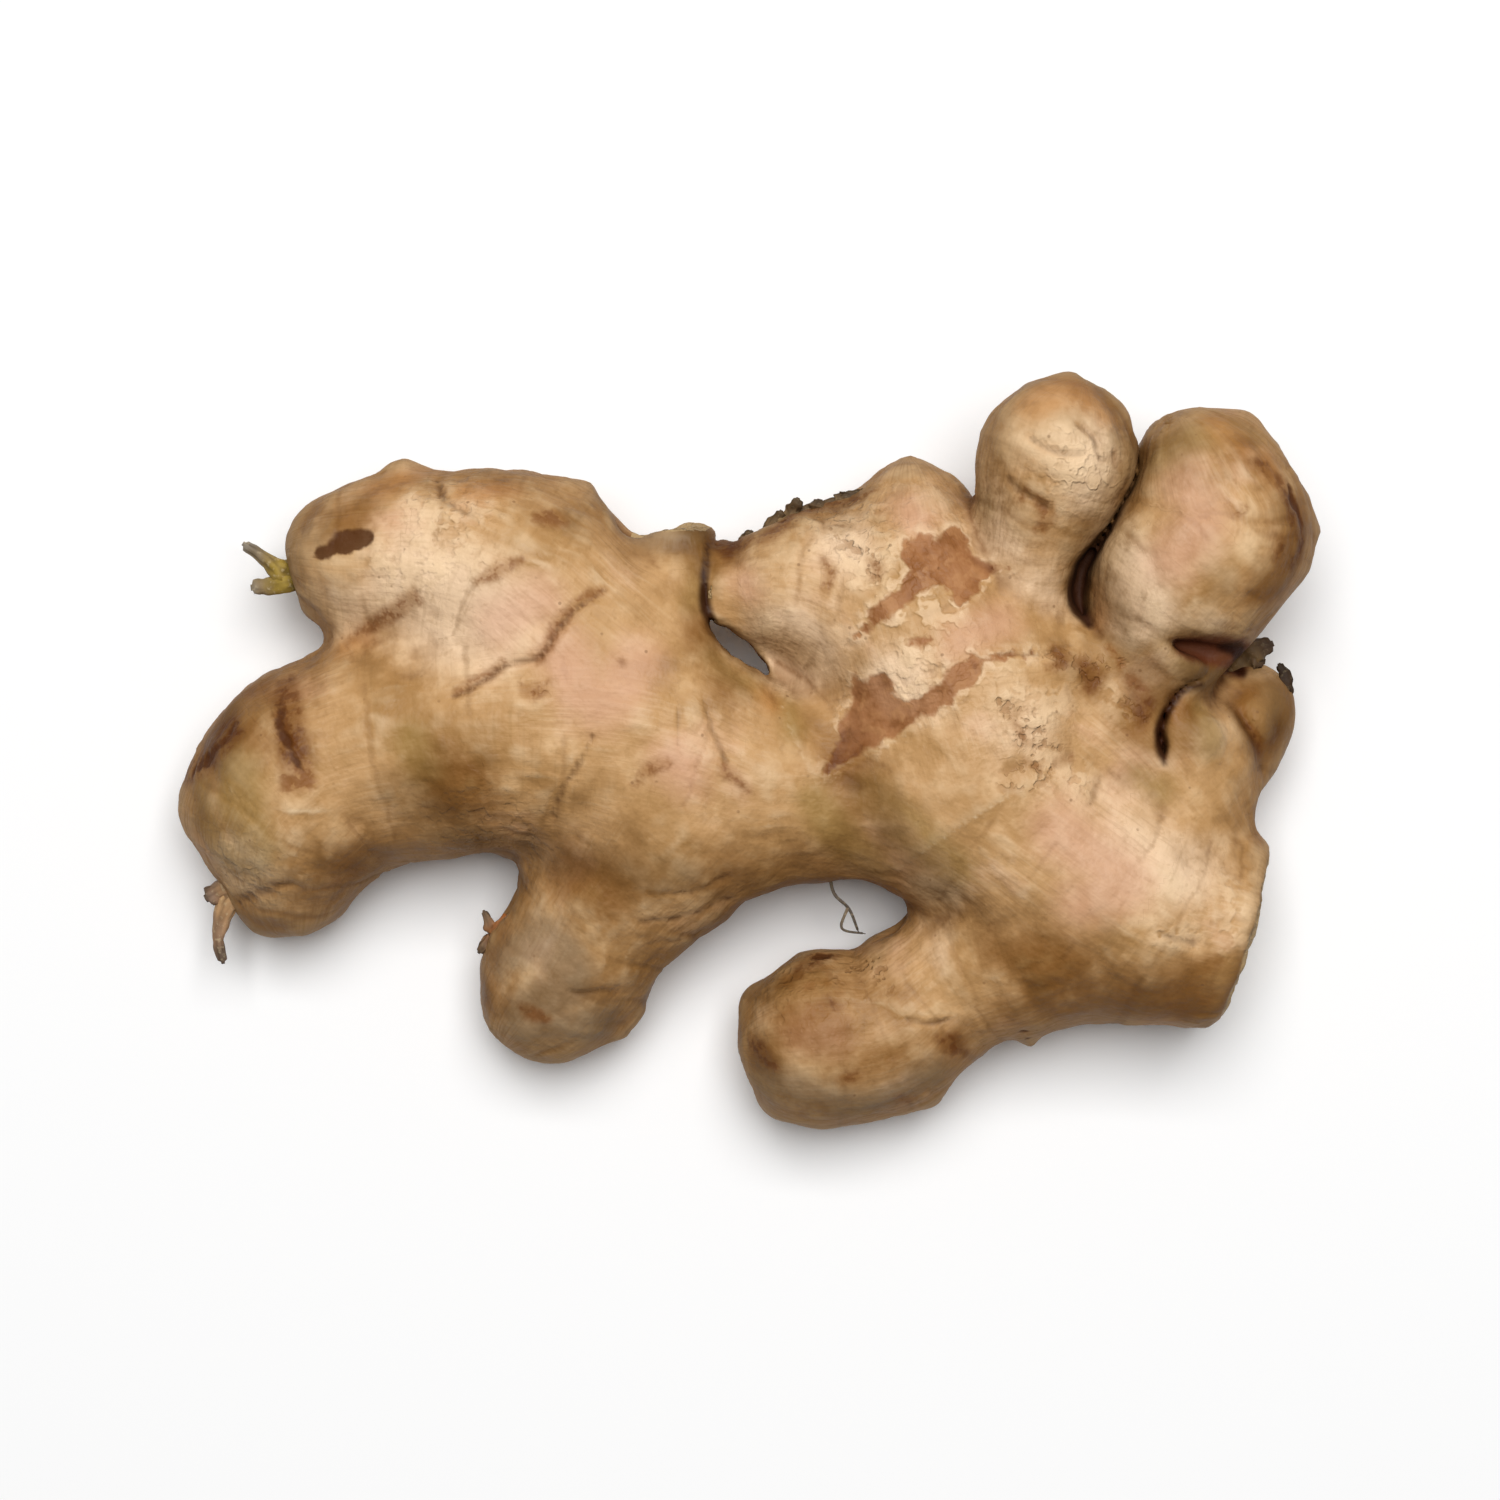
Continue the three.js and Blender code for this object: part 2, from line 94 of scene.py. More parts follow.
# The rhizome, in millimetres. A finger is a row of (x, y, z, radius) from root to tip, and its rings are
# leaf scars, measured along it. "grain" groups fingers that never touch, so that their growth directions
# can share one attribute. "broken" is a point and the facing of a snapped end, and how round its edge is.
rhizome = {
    "meshSpacing": 0.7,       # finest thing the mesh itself can carry
    "gridBox": ((-86.0, -60.0, -3.0), (86, 60, 44)),
    "centring": (0.4, 1.1, 0.0),
    "lumps": (13.0, 0.55),    # size and height of the slow unevenness of the body
    "knobbles": (5.0, 0.22),
    "wrinkles": 0.15,         # height of the folds that run along each finger
    "ringDepth": 0.11,
    "ringLip": (1.1, 0.8),    # how far towards the tip the low lip beside a ring lies, and how wide
    "grooveWidth": 0.55,
    "ringWander": ((1.5, 0.09, 40), (0.35, 0.45, 60)),    # height, waves to the millimetre, seed
    "noRing": 9.0,            # given to skin that has no ring near it
    "fingerFade": 1.3,        # distance over which one finger's grain gives way to the next one's
    "junctionFade": 1.1,
    "tightCrease": (0.3, 0.9),    # how sunken a crease is where its relief starts to die out, and is gone
    "settled": 0.9,           # the underside sinks onto the table from this height down
    "upward": (0, 0.12, 0.99),    # painted shade: the skin is coloured browner the more it faces away from this, which leans towards the key light
    # waves to the millimetre along a finger and round it, for its folds and for the finer streaks on them
    "foldGrain": (0.11, 0.62, 0.62), "streakGrain": (0.09, 1.3, 1.3),
    # how large the features of each noise are
    "noiseSizes": {
        "sway": 6, "wrinkled": 9, "ringed": 11, "scraps": 2.4, "crumbs": 1.1, "tornFlesh": 2.2,
        "ragged": 1.9, "pits": 0.9, "lifted": 1.6,
    },
    # how far the skin sinks at each mark, or rises beside it
    "deadSink": 0.28, "deadPits": 0.1, "rubbedSink": 0.16, "rubbedEdge": 0.14, "crackSink": 0.4,
    "sheathStep": 0.3,
    "tornFlesh": 0.4, "fleshHollow": 0.8,
    "fingers": {
        "leftBody": {"blend": 7, "squash": 0.92, "grain": 0, "rings": (9, 21, 30, 41, 52), "sections": (
            (-47, 2, 15, 15), (-33, 3.5, 16.5, 17.5), (-15.5, 2.5, 16.6, 18.5), (-1.5, -2.5, 17, 15.5),
            (11.5, -5, 17, 13))},
        "leftFinger": {"blend": 7, "squash": 0.92, "grain": 1, "rings": (8, 17.5, 26, 33, 38), "sections": (
            (-44.5, 1.5, 15, 15), (-58, -1.5, 14.5, 15.7), (-64.5, -6, 14, 15.9),
            (-65.2, -15.5, 11.5, 11.4))},
        "upperLeft": {"blend": 6, "squash": 0.95, "grain": 2, "rings": (19, 27, 34, 40), "sections": (
            (-21.5, 15, 17, 15.5), (-32.5, 24, 17.5, 15.5), (-44, 27, 17, 13), (-53.5, 27.5, 15.5, 12))},
        "upperLeftBud": {"blend": 2.5, "squash": 1, "grain": 3, "rings": (3,), "sections": (
            (-49.5, 34, 17, 4), (-49.5, 38.5, 17, 3))},
        "shoulderBud": {"blend": 2.5, "squash": 1, "grain": 3, "rings": (3,), "sections": (
            (-26.5, 32, 18, 6), (-24, 35.5, 18, 3))},
        "leftStub": {"blend": 4, "squash": 1, "grain": 3, "rings": (9, 14, 19), "sections": (
            (-12, 8.5, 19, 9), (-10.5, 20, 20, 6.5), (-10, 30.5, 20, 5)),
            "broken": ((-10, 31.8), (0, 1), 1.5)},
        "lowerLeft": {"blend": 6, "squash": 0.95, "grain": 1, "rings": (10, 18, 25, 29), "sections": (
            (-11.5, -10.5, 16.5, 15.5), (-20.5, -21.5, 13.5, 12.8), (-26.5, -31.5, 11, 12),
            (-28, -33.5, 10.5, 11.5))},
        "waist": {"blend": 5, "squash": 0.95, "grain": 2, "rings": (5, 14), "sections": (
            (3, -5, 17.5, 13.5), (14.5, -4.5, 17.5, 12), (25.5, -6.5, 18, 13.5))},
        "rightBody": {"blend": 6, "squash": 0.95, "grain": 1, "rings": (6, 15, 26, 36, 44), "sections": (
            (28, -5.5, 18, 14.5), (38.5, -11.5, 17, 17), (51.5, -20.5, 15.7, 17.2), (61.5, -25, 15, 15.2),
            (77.5, -28.5, 14.5, 13.5)), "broken": ((72.3, -21.4), (0.96, -0.27), 3)},
        "upperRight": {"blend": 6, "squash": 0.95, "grain": 0, "rings": (8, 16, 25, 32), "sections": (
            (31.5, -1.5, 17.5, 17), (27.5, 10, 16.4, 18.5), (23, 21.5, 18.5, 15.8), (22.5, 32.5, 18.5, 9))},
        "rightStub": {"blend": 3.5, "squash": 1, "grain": 1, "rings": (7, 13, 18), "sections": (
            (18.5, 19, 19.5, 12.5), (9, 22.8, 20, 11), (1.5, 22.5, 20, 7.8), (-4, 23, 20, 6)),
            "broken": ((-5, 24), (-1, -0.1), 1.2)},
        "shoulder": {"blend": 6, "squash": 0.95, "grain": 3, "rings": (9, 18), "sections": (
            (34, 10, 20, 15), (44, 10, 19, 13), (54, 3, 17.5, 12.5), (61.5, -5.5, 16, 11.5))},
        "ball": {"blend": 2.2, "squash": 1, "grain": 2, "rings": (7, 12, 21), "sections": (
            (38.4, 21, 22, 7.8), (39.9, 31, 25, 8.7), (43, 41, 27.5, 11.3))},
        "topRight": {"blend": 2.2, "squash": 0.97, "grain": 1, "rings": (10, 15, 20.5, 27, 33), "sections": (
            (52, 7, 18, 9), (57.5, 17.5, 21, 11.8), (61.7, 26, 24, 14.3), (65.6, 30.5, 25, 13.9),
            (64, 35.5, 26, 12.5))},
        "knobShoulder": {"blend": 3, "squash": 1, "grain": 0, "rings": (6,), "sections": (
            (65, -1, 12.5, 7.5), (71.5, 6.3, 13.2, 6.4))},
        "smallKnob": {"blend": 1.4, "squash": 1, "grain": 2, "rings": (7, 10), "sections": (
            (60.5, -7, 14.5, 9), (65, -2, 15, 8.6), (66.8, 1.3, 16, 8.2))},
        "lowerRight": {"blend": 4, "squash": 0.95, "grain": 3, "rings": (9, 17, 25, 31), "sections": (
            (40, -27, 15.5, 13.5), (28.5, -33, 13, 11.5), (19, -40.3, 11.7, 12.3), (11, -41.5, 11.5, 13))},
    },
    # folds cut deep between fingers that press together: the height they reach down to, how round their
    # lips are, how much they widen for each millimetre (down from their lips, or up from their floor if
    # below 0), and x, y, half width along them
    "clefts": (
        (-10, 0.8, 0.12, (
            (-4.9, 42, 1.4), (-4.9, 31.5, 0.9), (-5.0, 29.3, 0.3), (-5.3, 27, -0.1), (-6.2, 22.5, -0.1),
            (-5.6, 18, 0.35), (-3.9, 16.2, 1.0), (-1.2, 14.0, 1.15), (1.2, 12.0, 0.7), (3.0, 10.2, 0.1))),
        (22.6, 1.4, -0.09, (
            (55.4, 46, 0.2), (54.4, 39.3, 0.0), (52.5, 35, -0.1), (50.4, 31.3, 0.0), (48.7, 28.4, 0.2),
            (47.2, 26, 0.6), (46.4, 23.3, 0.8), (46.6, 20.5, 0.5), (47.6, 17.8, -0.4))),
        (26.8, 2.2, -0.1, (
            (59.6, 14.8, 0.4), (62.2, 14.1, 1.0), (65.3, 13.2, 1.5), (68.3, 12.2, 1.7), (71, 11.2, 1.1))),
        (22, 1.2, -0.06, (
            (58.5, -1.8, -0.4), (57.9, 0.8, 0.1), (57.9, 3.6, 0.0), (59.1, 7.0, -0.1), (61.2, 9.4, -0.15),
            (64.2, 10.8, -0.3))),
        (20.5, 4.0, 0.0, ((68.6, 6.6, 0.0), (69.8, 4.4, 0.2), (71.8, 1.2, 0.2), (73.9, -2.0, 0.0))),
    ),
    # local swellings and dents of the outline: x, y, z, reach, height
    "swells": (
        (-63.5, 33.5, 17, 3.5, 1.3), (-57.5, 39.0, 17, 3.2, -0.8), (-66.0, 30.5, 16, 3.0, 0.9),
        (-62.5, 21.5, 15, 3.0, 0.8), (-61.2, 17.0, 14, 2.0, -0.6), (-80, -8, 14, 5.0, 1.4),
        (-70.5, -24.5, 11, 3.5, 1.0), (-57.5, -21.0, 12, 4.5, -1.9), (-52.0, -15.8, 13, 2.5, 0.8),
        (-34.6, -14.0, 13, 2.2, 1.2), (-34.8, -21.0, 13, 2.6, -1.8), (-38.8, -32.5, 12, 3.0, -0.6),
        (-37.5, -38.0, 11, 2.5, 0.4), (-22.0, -42.8, 10, 4.0, -0.6), (-16.8, -40.3, 10, 2.4, 1.2),
        (-15.8, -37.0, 11, 2.5, 0.8), (-12.5, -31.0, 12, 2.5, -0.4), (-2.5, -21.8, 14, 4.0, 0.7),
        (-15.8, 32.8, 20, 2.8, -2.2), (-20.0, 37.8, 18, 3.0, -0.9), (-8.5, 33.6, 20, 2.8, 1.7),
        (-6.0, 31.2, 20, 2.0, 0.8),
        (3.0, 33.0, 20, 3.0, -1.3), (11.0, 36.3, 19, 4.0, 1.2), (17.5, 40.2, 19, 3.0, -1.2),
        (28.5, 42.0, 19, 2.5, -0.3), (31.5, 39.0, 20, 3.0, 0.5), (22.8, 44.0, 19, 1.8, 0.6),
        (52.0, 48.0, 29, 2.4, 1.0), (49.5, 50.5, 28, 2.5, 0.7),
        (45.0, 53.0, 28, 2.6, 1.3), (36.8, 50.5, 28, 3.0, -0.7),
        (65.0, 49.5, 27, 2.6, -0.2), (70.0, 47.0, 27, 2.5, 0.9), (73.0, 46.0, 26, 2.5, -0.4),
        (76.4, 42.0, 26, 3.0, -0.8), (80.0, 31.8, 26, 2.0, 0.9), (75.5, 22.0, 24, 4.0, -0.9),
        (72.5, 17.0, 20, 2.5, -0.6), (76.5, 3.0, 14, 3.0, 0.9), (76.0, -1.0, 13, 3.4, 1.5),
        (73.0, -8.0, 15, 2.4, -1.5), (71.0, -32.0, 14, 3.0, 0.8), (67.0, -38.5, 14, 3.5, -1.9),
        (59.5, -38.5, 14, 3.5, -0.9), (48.8, -37.8, 14, 4.0, 0.7), (44.8, -39.3, 14, 2.2, 0.5),
        (40.5, -40.5, 14, 1.6, 1.6), (36.8, -40.8, 13, 2.2, -1.0), (31.0, -44.5, 12, 3.0, -0.7),
        (26.5, -49.0, 11, 3.0, 0.9), (4.0, -50.5, 11, 3.0, 0.9), (-0.8, -34.6, 12, 3.0, 0.8),
        (-1.0, -45.0, 11, 3.5, -0.9), (4.0, -29.8, 12, 3.5, -1.6), (19.5, -20.5, 14, 3.0, -0.8),
        (21.5, -24.6, 14, 2.5, -1.7), (10.9, -18.0, 15, 3.0, 0.5), (-72.5, -12.5, 22, 1.6, 1.1),
        (72.0, -13.0, 20, 4.0, 0.7), (57.0, -30.0, 16, 7.0, 0.5),
        # the scarred knob and the lobe beside it stand out above their folds
        (64.5, 3.0, 26, 4.0, 1.9), (73.5, 6.5, 22, 3.0, 0.8), (66.5, 24.0, 36, 7.0, 0.6),
        (52.0, 15.0, 30, 3.0, 0.9), (45.5, 12.5, 33, 2.5, 0.7), (27.0, 36.0, 29, 4.0, 0.8),
    ),
    # where the skin is paler (above 0) or darker, seen from above: partly its own tone, thin and pale or
    # thick and dark, and partly painted highlight and painted shade; x, y, reach, amount
    "skinToneWithPaintedLight": {
        "leftFinger": (
            (-75, 3, 6, -1.3), (-70, 9, 6, -1.3), (-62, 11, 5, -0.6), (-64, 2, 4.5, -1.1),
            (-72, -16, 5, 1.8), (-70, -24, 4.5, -0.8), (-62, -21, 5.5, -0.6), (-56, -15, 6, -1)),
        "leftBody": (
            (-41, -7, 7, -0.65), (-37, -4, 5, -0.6), (-30, -12, 3.5, 0.7), (-26, -16, 5.5, -1),
            (-19, -19, 7, -0.95), (-4, -16, 6, -0.85), (-43, -2, 6, -0.7)),
        "upperLeft": (
            (-56, 34, 5, -0.8), (-58, 29, 5, -0.85), (-53, 35, 4, -0.6), (-48, 27, 8, 0.75),
            (-58, 22, 6, 0.9), (-43, 20, 7, 0.75), (-36, 20, 8, 0.95), (-35, 38, 4.5, -0.75),
            (-28, 34, 4, -0.6)),
        "leftStub": (
            (-7, 29, 5.5, -0.9), (-4, 30, 4, -1), (-6, 17, 4, -1.2)),
        "rightStub": (
            (5, 16, 5, 1.4), (8, 15, 5.5, 1.1), (13, 32, 4.5, 0.65), (14, 28, 5, 0.7)),
        "upperRight": (
            (21, 10, 5.5, 1.3), (33, 36, 4, 1)),
        "waist": (
            (-2, 9, 5, -0.9), (-2, -4, 4.5, -0.65), (14, 0, 6, -1.1), (18, -8, 5.5, -0.75),
            (12, -14, 5, -0.6), (27, -19, 4.5, 1.2)),
        "ball": (
            (43, 44, 9, 0.3), (50, 43, 5.5, 0.8), (48, 36, 3.5, 0.9), (50, 35, 3, 0.6), (35, 30, 4, 0.7),
            (40, 24, 4, 0.7), (44, 20, 4, 0.6), (50, 30, 2.5, 0.8)),
        "topRight": (
            (52, 26, 4.5, 1.3), (52, 22, 4.5, 1.1), (54, 20, 5.5, 1.4), (60, 42, 7, -0.75),
            (71, 41, 5, -0.7), (76, 33, 5, -1.3), (74, 26, 5, -1.1), (70, 22, 5, -0.7),
            (65, 18, 4, 0.85), (59, 14, 4, -0.8)),
        "smallKnob": (
            (65, 12, 4, -1), (66, 10, 3, 0.8), (60, 6, 3, -1.2), (60, 2, 4.5, -1), (72, 8, 4, -0.9),
            (76, 8, 4.5, -1.4), (72, 3, 4.5, -1.4)),
        "shoulder": (
            (44, 16, 5, -0.9), (48, 11, 3.5, -0.7), (56, 7, 4.5, -0.6), (56, 4, 4, -0.7),
            (52, 4, 4.5, -0.6), (38, 4, 7, 0.6), (62, -7, 4, -0.6)),
        "rightBody": (
            (54, -11, 10, 0.7), (62, -16, 7, 0.6), (68, -31, 5, -1.5), (64, -34, 5.5, -1.2),
            (56, -34, 7, -0.95), (44, -36, 5, -0.6), (45, -29, 6.5, -0.85), (39, -28, 6, -0.85),
            (37, -36, 4, -0.6), (27, -28, 4, 0.6), (32, -27, 4, -0.6)),
        "lowerRight": (
            (6, -34, 5, -1.1), (10, -31, 4, -0.7), (10, -36, 5.5, -0.75), (2, -42, 4.5, -1),
            (20, -32, 4.5, -0.95), (20, -42, 5.5, -0.75), (29, -41, 4.5, -0.9),
            (11, -44, 6, -0.7)),
        "lowerLeft": (
            (-37, -34, 4.5, -1.1), (-30, -34, 5, -0.65), (-22, -32, 5.5, -0.55)),
    },
    # papery, crumpled places: x, y, z, reach, height
    "crinkles": (
        (46, 40, 36, 6, 0.3), (40, 1, 32, 7, 0.18), (20, 30, 30, 8, 0.25),
        (-40, 34, 27, 8, 0.25), (28, 14, 33, 9, 0.2), (-70, -14, 20, 7, 0.25), (8, -33, 20, 8, 0.2),
        (-36, -9, 26, 9, 0.2), (12, 33, 26, 6, 0.3),
    ),
}

# Marks of the skin, seen from above, with painted shade among them: the dark crease lines are painted shade,
# and the olive lines are partly the skin's tint and partly painted shade along edges and creases. A line
# follows x, y and a half width at each point, an area fills its outline, and "sink" lets a mark reach down a
# crease: the smaller it is, the deeper.
marks = {
    "deadSkin": {"areas": (
        ((-61.5, 28.5), (-60.5, 29.5), (-59, 30.5), (-57.5, 32), (-55.5, 32.5), (-53, 32), (-52.5, 31),
         (-53.5, 29.5), (-55.5, 29), (-57.5, 28.5), (-60, 28)),
        ), "lines": (
        ((-65.5, 9.5, 0.2), (-65.5, 6.5, 0.5), (-65, 3, 0.6), (-63.5, 0.5, 0.5), (-62, -2, 0.2)),
        ((-72, 5, 0.2), (-74, 2, 0.5), (-76.5, 0, 0.8), (-78.5, -1.5, 0.8), (-80, -3, 0.4)),
        ((9, -29.5, 0.3), (10.5, -28.5, 0.8), (12, -28, 0.5)), ((39, -39, 0.5), (41, -40.5, 0.5)),
        ((-3.5, 30, 0.2), (-2, 30, 0.3)), ((4, 32.5, 0.3), (5, 33.5, 0.3)),
        ((75.5, 38, 0.3), (76, 36, 0.7), (77, 33.5, 0.6), (77, 31, 0.3)),
        )},
    "rubbed": {"areas": (
        ((22, 29.5), (24, 31), (26.5, 30.5), (28.5, 31.5), (29.5, 31.5), (30.5, 30), (31.5, 28), (34, 27),
         (36.5, 26.5), (34.5, 26), (32.5, 24.5), (32, 23), (29.5, 21.5), (28, 23), (27.5, 24.5), (25.5, 24),
         (23.5, 23), (22, 21.5), (20, 19.5), (17, 18), (15, 17), (17.5, 20.5), (20, 22.5), (21.5, 24),
         (23, 26), (21.5, 28)),
        ((10.5, -2.5), (12.5, 2), (13.5, 5), (14.5, 8), (15, 11.5), (16.5, 10.5), (17.5, 11.5), (19, 12),
         (20, 10.5), (20.5, 8.5), (22, 7.5), (23.5, 8), (25.5, 9.5), (27.5, 11), (29.5, 13), (31.5, 14.5),
         (32.5, 13), (31, 10.5), (29, 9), (27, 7), (23.5, 5), (21.5, 3.5), (18.5, 2), (15.5, 0.5), (13, -1),
         (11.5, -2)),
        ), "lines": (
        ((31.5, 13.5, 0.5), (35, 14, 0.3), (39.5, 14.5, 0.2)),
        ((22.5, 16, 0.3), (24.5, 16, 0.5), (25.5, 16.5, 0.2)),
        )},
    "brownSpots": {"areas": (
        ((-4.5, 30.5), (-2, 31.5), (1.5, 31), (3.5, 32.5), (5, 35), (7.5, 36), (10.5, 36.5), (14, 37),
         (17, 38), (19, 38), (17, 37), (14, 35.5), (11.5, 34.5), (9, 34), (7, 33.5), (5.5, 32), (3.5, 30),
         (0.5, 30), (-1.5, 29), (-3, 27.5)),
        ((-66.5, 10.5), (-64.5, 12), (-63, 9.5), (-62, 4), (-61, -1), (-60, -4), (-62.5, -5), (-65.5, -5),
         (-65.5, 1), (-66.5, 6)),
        ((-72.5, 6), (-70.5, 3.5), (-72.5, 1), (-75.5, -1.5), (-79.5, -4), (-81, -3), (-79, 0), (-76.5, 3),
         (-74.5, 5)),
        ), "lines": (
        ((-56.5, 16, 0.5), (-54, 18, 0.9), (-51.5, 19.5, 1.2), (-49, 21, 1.3), (-47, 22.5, 1.1),
         (-46, 22, 0.6)),
        ((-37.5, 24.5, 0.5), (-35.5, 25.5, 0.9), (-33.5, 26.5, 0.9), (-31.5, 27.5, 0.4)),
        ((-29, 13.5, 0.6), (-27.5, 15.5, 0.8), (-26.5, 18, 1), (-24.5, 20.5, 0.9), (-22, 22.5, 0.8),
         (-20, 23.5, 0.4)),
        ((-40.5, 9, 0.5), (-39, 10, 0.9), (-37, 11, 0.9), (-35.5, 12, 0.6), (-33.5, 13.5, 0.3)),
        ((-31, 9.5, 0.8), (-29.5, 9, 1), (-28.5, 9.5, 0.7)), ((-27.5, 10.5, 0.4), (-27, 10.5, 0.4)),
        ((-15.5, -4, 0.4), (-14.5, -2, 0.6), (-13, -1.5, 0.9), (-11, -0.5, 0.5)),
        ((-3.5, -0.5, 0.4), (-3, -2, 0.7), (-1.5, -3, 0.6), (0, -4.5, 0.3)),
        ((-29, 33.5, 1), (-27, 33.5, 1.4), (-25.5, 33, 0.8)),
        ((10.5, 28, 0.5), (11.5, 26, 0.8), (11, 23.5, 0.6)),
        ((17, 27.5, 0.5), (18.5, 26, 0.7), (17.5, 25, 0.4)), ((43, 15, 0.8), (44, 13.5, 1), (42, 12.5, 0.5)),
        ((47, 12.5, 1.2), (48.5, 11, 1.4), (47.5, 9.5, 0.8)),
        ((51, 15, 0.8), (52, 13.5, 0.6), (52, 12, 0.5)), ((53.5, 11, 0.8), (55.5, 8, 1.3), (55, 5, 0.9)),
        ((36.5, 6, 0.2), (38, 3, 0.4), (39, 2, 0.2)), ((38.5, -0.5, 0.5), (40.5, -1.5, 0.4)),
        ((43.5, -0.5, 0.7), (45, 0, 0.4)), ((13.5, -45.5, 0.9), (15.5, -45, 0.8)),
        ((40, 35.5, 0.7), (41.5, 33.5, 1.1), (40.5, 31.5, 0.8)), ((37.5, 35.5, 0.5), (38.5, 37, 0.4)),
        ((70, 5, 0.4), (72, 3, 0.9), (73, 0.5, 0.5)), ((51.5, 42.5, 0.3), (51, 40.5, 0.3)),
        ((66.5, 34.5, 0.5), (67.5, 33.5, 0.6), (68.5, 34.5, 0.4)),
        ((70, 41, 0.6), (71.5, 40.5, 1.1), (72.5, 39, 0.6)), ((74, 29.5, 0.8), (73, 27.5, 0.6)),
        ((7, -31.5, 0.6), (8.5, -29.5, 1.3), (10.5, -28.5, 1.5), (13, -28, 0.6)),
        ((0.5, -40, 0.6), (2, -41.5, 1.5), (4, -43.5, 1)),
        ((27, -39.5, 0.5), (29, -40.5, 1.5), (31, -42, 0.7)), ((21.5, -48.5, 0.6), (23.5, -49.5, 1)),
        ((-32, -35.5, 0.6), (-30.5, -36.5, 1.2), (-28.5, -37, 0.8)),
        ((73.5, 39, 0.8), (75.5, 36, 1.5), (76.5, 32.5, 1.6), (77, 29, 1.2), (75.5, 26.5, 0.8)),
        ((-50.5, 20.5, 0.2), (-49, 22, 0.3), (-47, 23.5, 0.3)), ((11.5, -34.5, 0.5), (13, -35.5, 0.3)),
        ((-17.5, 13.5, 0.3), (-17, 13, 0.3)),
        )},
    "purpleScar": {"areas": (
        ((59.5, 16.5), (62.5, 17), (66, 17), (69, 16.5), (71.5, 15.5), (71.5, 13.5), (70.5, 11.5),
         (68, 12.5), (65.5, 13), (63, 13.5), (60, 14.5)),
        ), "lines": (
        ((52, 51, 0.5), (53, 51, 0.6)),
        )},
    # painted shade: dark lines laid down the creases
    "creaseShade": {"sink": 0.05, "lines": (
        ((55, 40.5, -0.3), (53.5, 37, 0), (52, 33.5, 0.1), (49.5, 30, 0.3), (47.5, 27, 0.9),
         (46.5, 24, 1.2), (46.5, 21.5, 0.9), (48, 18.5, 0.1)),
        ((58.5, -1, -0.2), (58, 1.5, 0.6), (58, 4.5, 0.4), (59.5, 7.5, 0.3), (61, 9.5, 0.2), (63.5, 10.5, 0)),
        ((-5.5, 30, 0), (-6, 26, 0.2), (-6, 22, 0.4), (-5, 19, 0.2)),
        ((66.5, 15.5, 0.2), (69, 15, 0.7), (70.5, 12.5, 0.5)),
        )},
    "cracks": {"lines": (
        ((-73, -21, 0.4), (-71, -20, 0.7), (-68, -19, 0.6), (-64.5, -18, 0.2)),
        ((-44, 40, 0.3), (-42.5, 36.5, 0.4), (-40, 34.5, 0.3), (-38, 33.5, 0.1)),
        ((-21.5, 3, 0.1), (-23.5, -1, 0.3), (-26, -5, 0.3), (-27.5, -8.5, 0.2)),
        ((-20, 23.5, 0.2), (-24.5, 20, 0.3), (-26.5, 17.5, 0.3), (-29, 14, 0.3), (-33.5, 13, 0.2),
         (-37, 10.5, 0.3), (-41, 8.5, 0.2)),
        ((-6, 8, 0.1), (-5, 4.5, 0.2), (-3, -0.5, 0.2)), ((-9.5, 8, 0.1), (-9.5, 2, 0.2)),
        ((-24.5, -33.5, 0.3), (-21, -33, 0.3), (-18, -33.5, 0.2)),
        ((-15, -23.5, 0.2), (-9.5, -23, 0.4), (-4.5, -21, 0.3), (-0.5, -19, 0.2)),
        ((-13.5, -19, 0.1), (-8, -19, 0.3), (-2.5, -17, 0.2)),
        ((-13, -26.5, 0.1), (-8, -25.5, 0.2), (-6, -24.5, 0.1)),
        ((39, 44, 0.2), (43, 42, 0.3), (46.5, 42, 0.2)),
        ((45.5, 46, 0.1), (48, 44, 0.3), (49, 41, 0.2), (51.5, 42.5, 0.2)),
        ((36, 38.5, 0.3), (38, 36.5, 0.4), (41.5, 34.5, 0.4)), ((57.5, -24.5, 0.3), (62.5, -26, 0.2)),
        ((35, 14.5, 0.2), (41, 14.5, 0.2), (45.5, 16, 0.2)),
        ((22.5, -37, 0.2), (26, -37.5, 0.3), (28.5, -37, 0.2)),
        )},
    "sheathEdges": {"lines": (
        ((4.5, 8.5, 0.1), (6.5, 3, 0.2), (9, -3, 0.1)),
        ((21.5, -15.5, 0.1), (25.5, -12.5, 0.2), (30.5, -9, 0.2), (35, -6, 0.1), (40, -3.5, 0.1)),
        ((66, -14, 0.1), (65, -18, 0.2), (65, -21, 0.1)),
        ((-43.5, 39, 0.1), (-42, 35.5, 0.2), (-39, 33.5, 0.1)),
        ((10.5, -2.5, 0.1), (16, 0, 0.2), (22, 3, 0.1)),
        ((5.5, -35, 0.1), (14.5, -34.5, 0.2), (19.5, -35, 0.2), (22.5, -37, 0.1)),
        ((-21, 37, 0.2), (-20, 33.5, 0.1)), ((-64, -7.5, 0.3), (-60, -7.5, 0.2)),
        )},
    "smears": {"lines": (
        ((-49.5, -4.5, 2.5), (-44.5, -7.5, 3.5), (-39, -11, 3)),
        ((-29.5, -13, 2.5), (-20.5, -15, 2.2), (-9.5, -16, 2.2)),
        ((49.5, 16.5, 1.5), (53.5, 14.5, 2.5), (56.5, 9.5, 2.5)), ((62, 12.5, 1.5), (66.5, 9.5, 1.2)),
        ((20, -11, 2), (23, -15, 2.2), (26.5, -18, 2.2)),
        ((49, 25.5, 1.5), (50.5, 22, 2), (52.5, 18.5, 1.5)),
        )},
    "pitted": {"lines": (
        ((35, 8, 1.8), (38.5, 4, 3), (42, -1, 3), (36.5, -3, 2.2)),
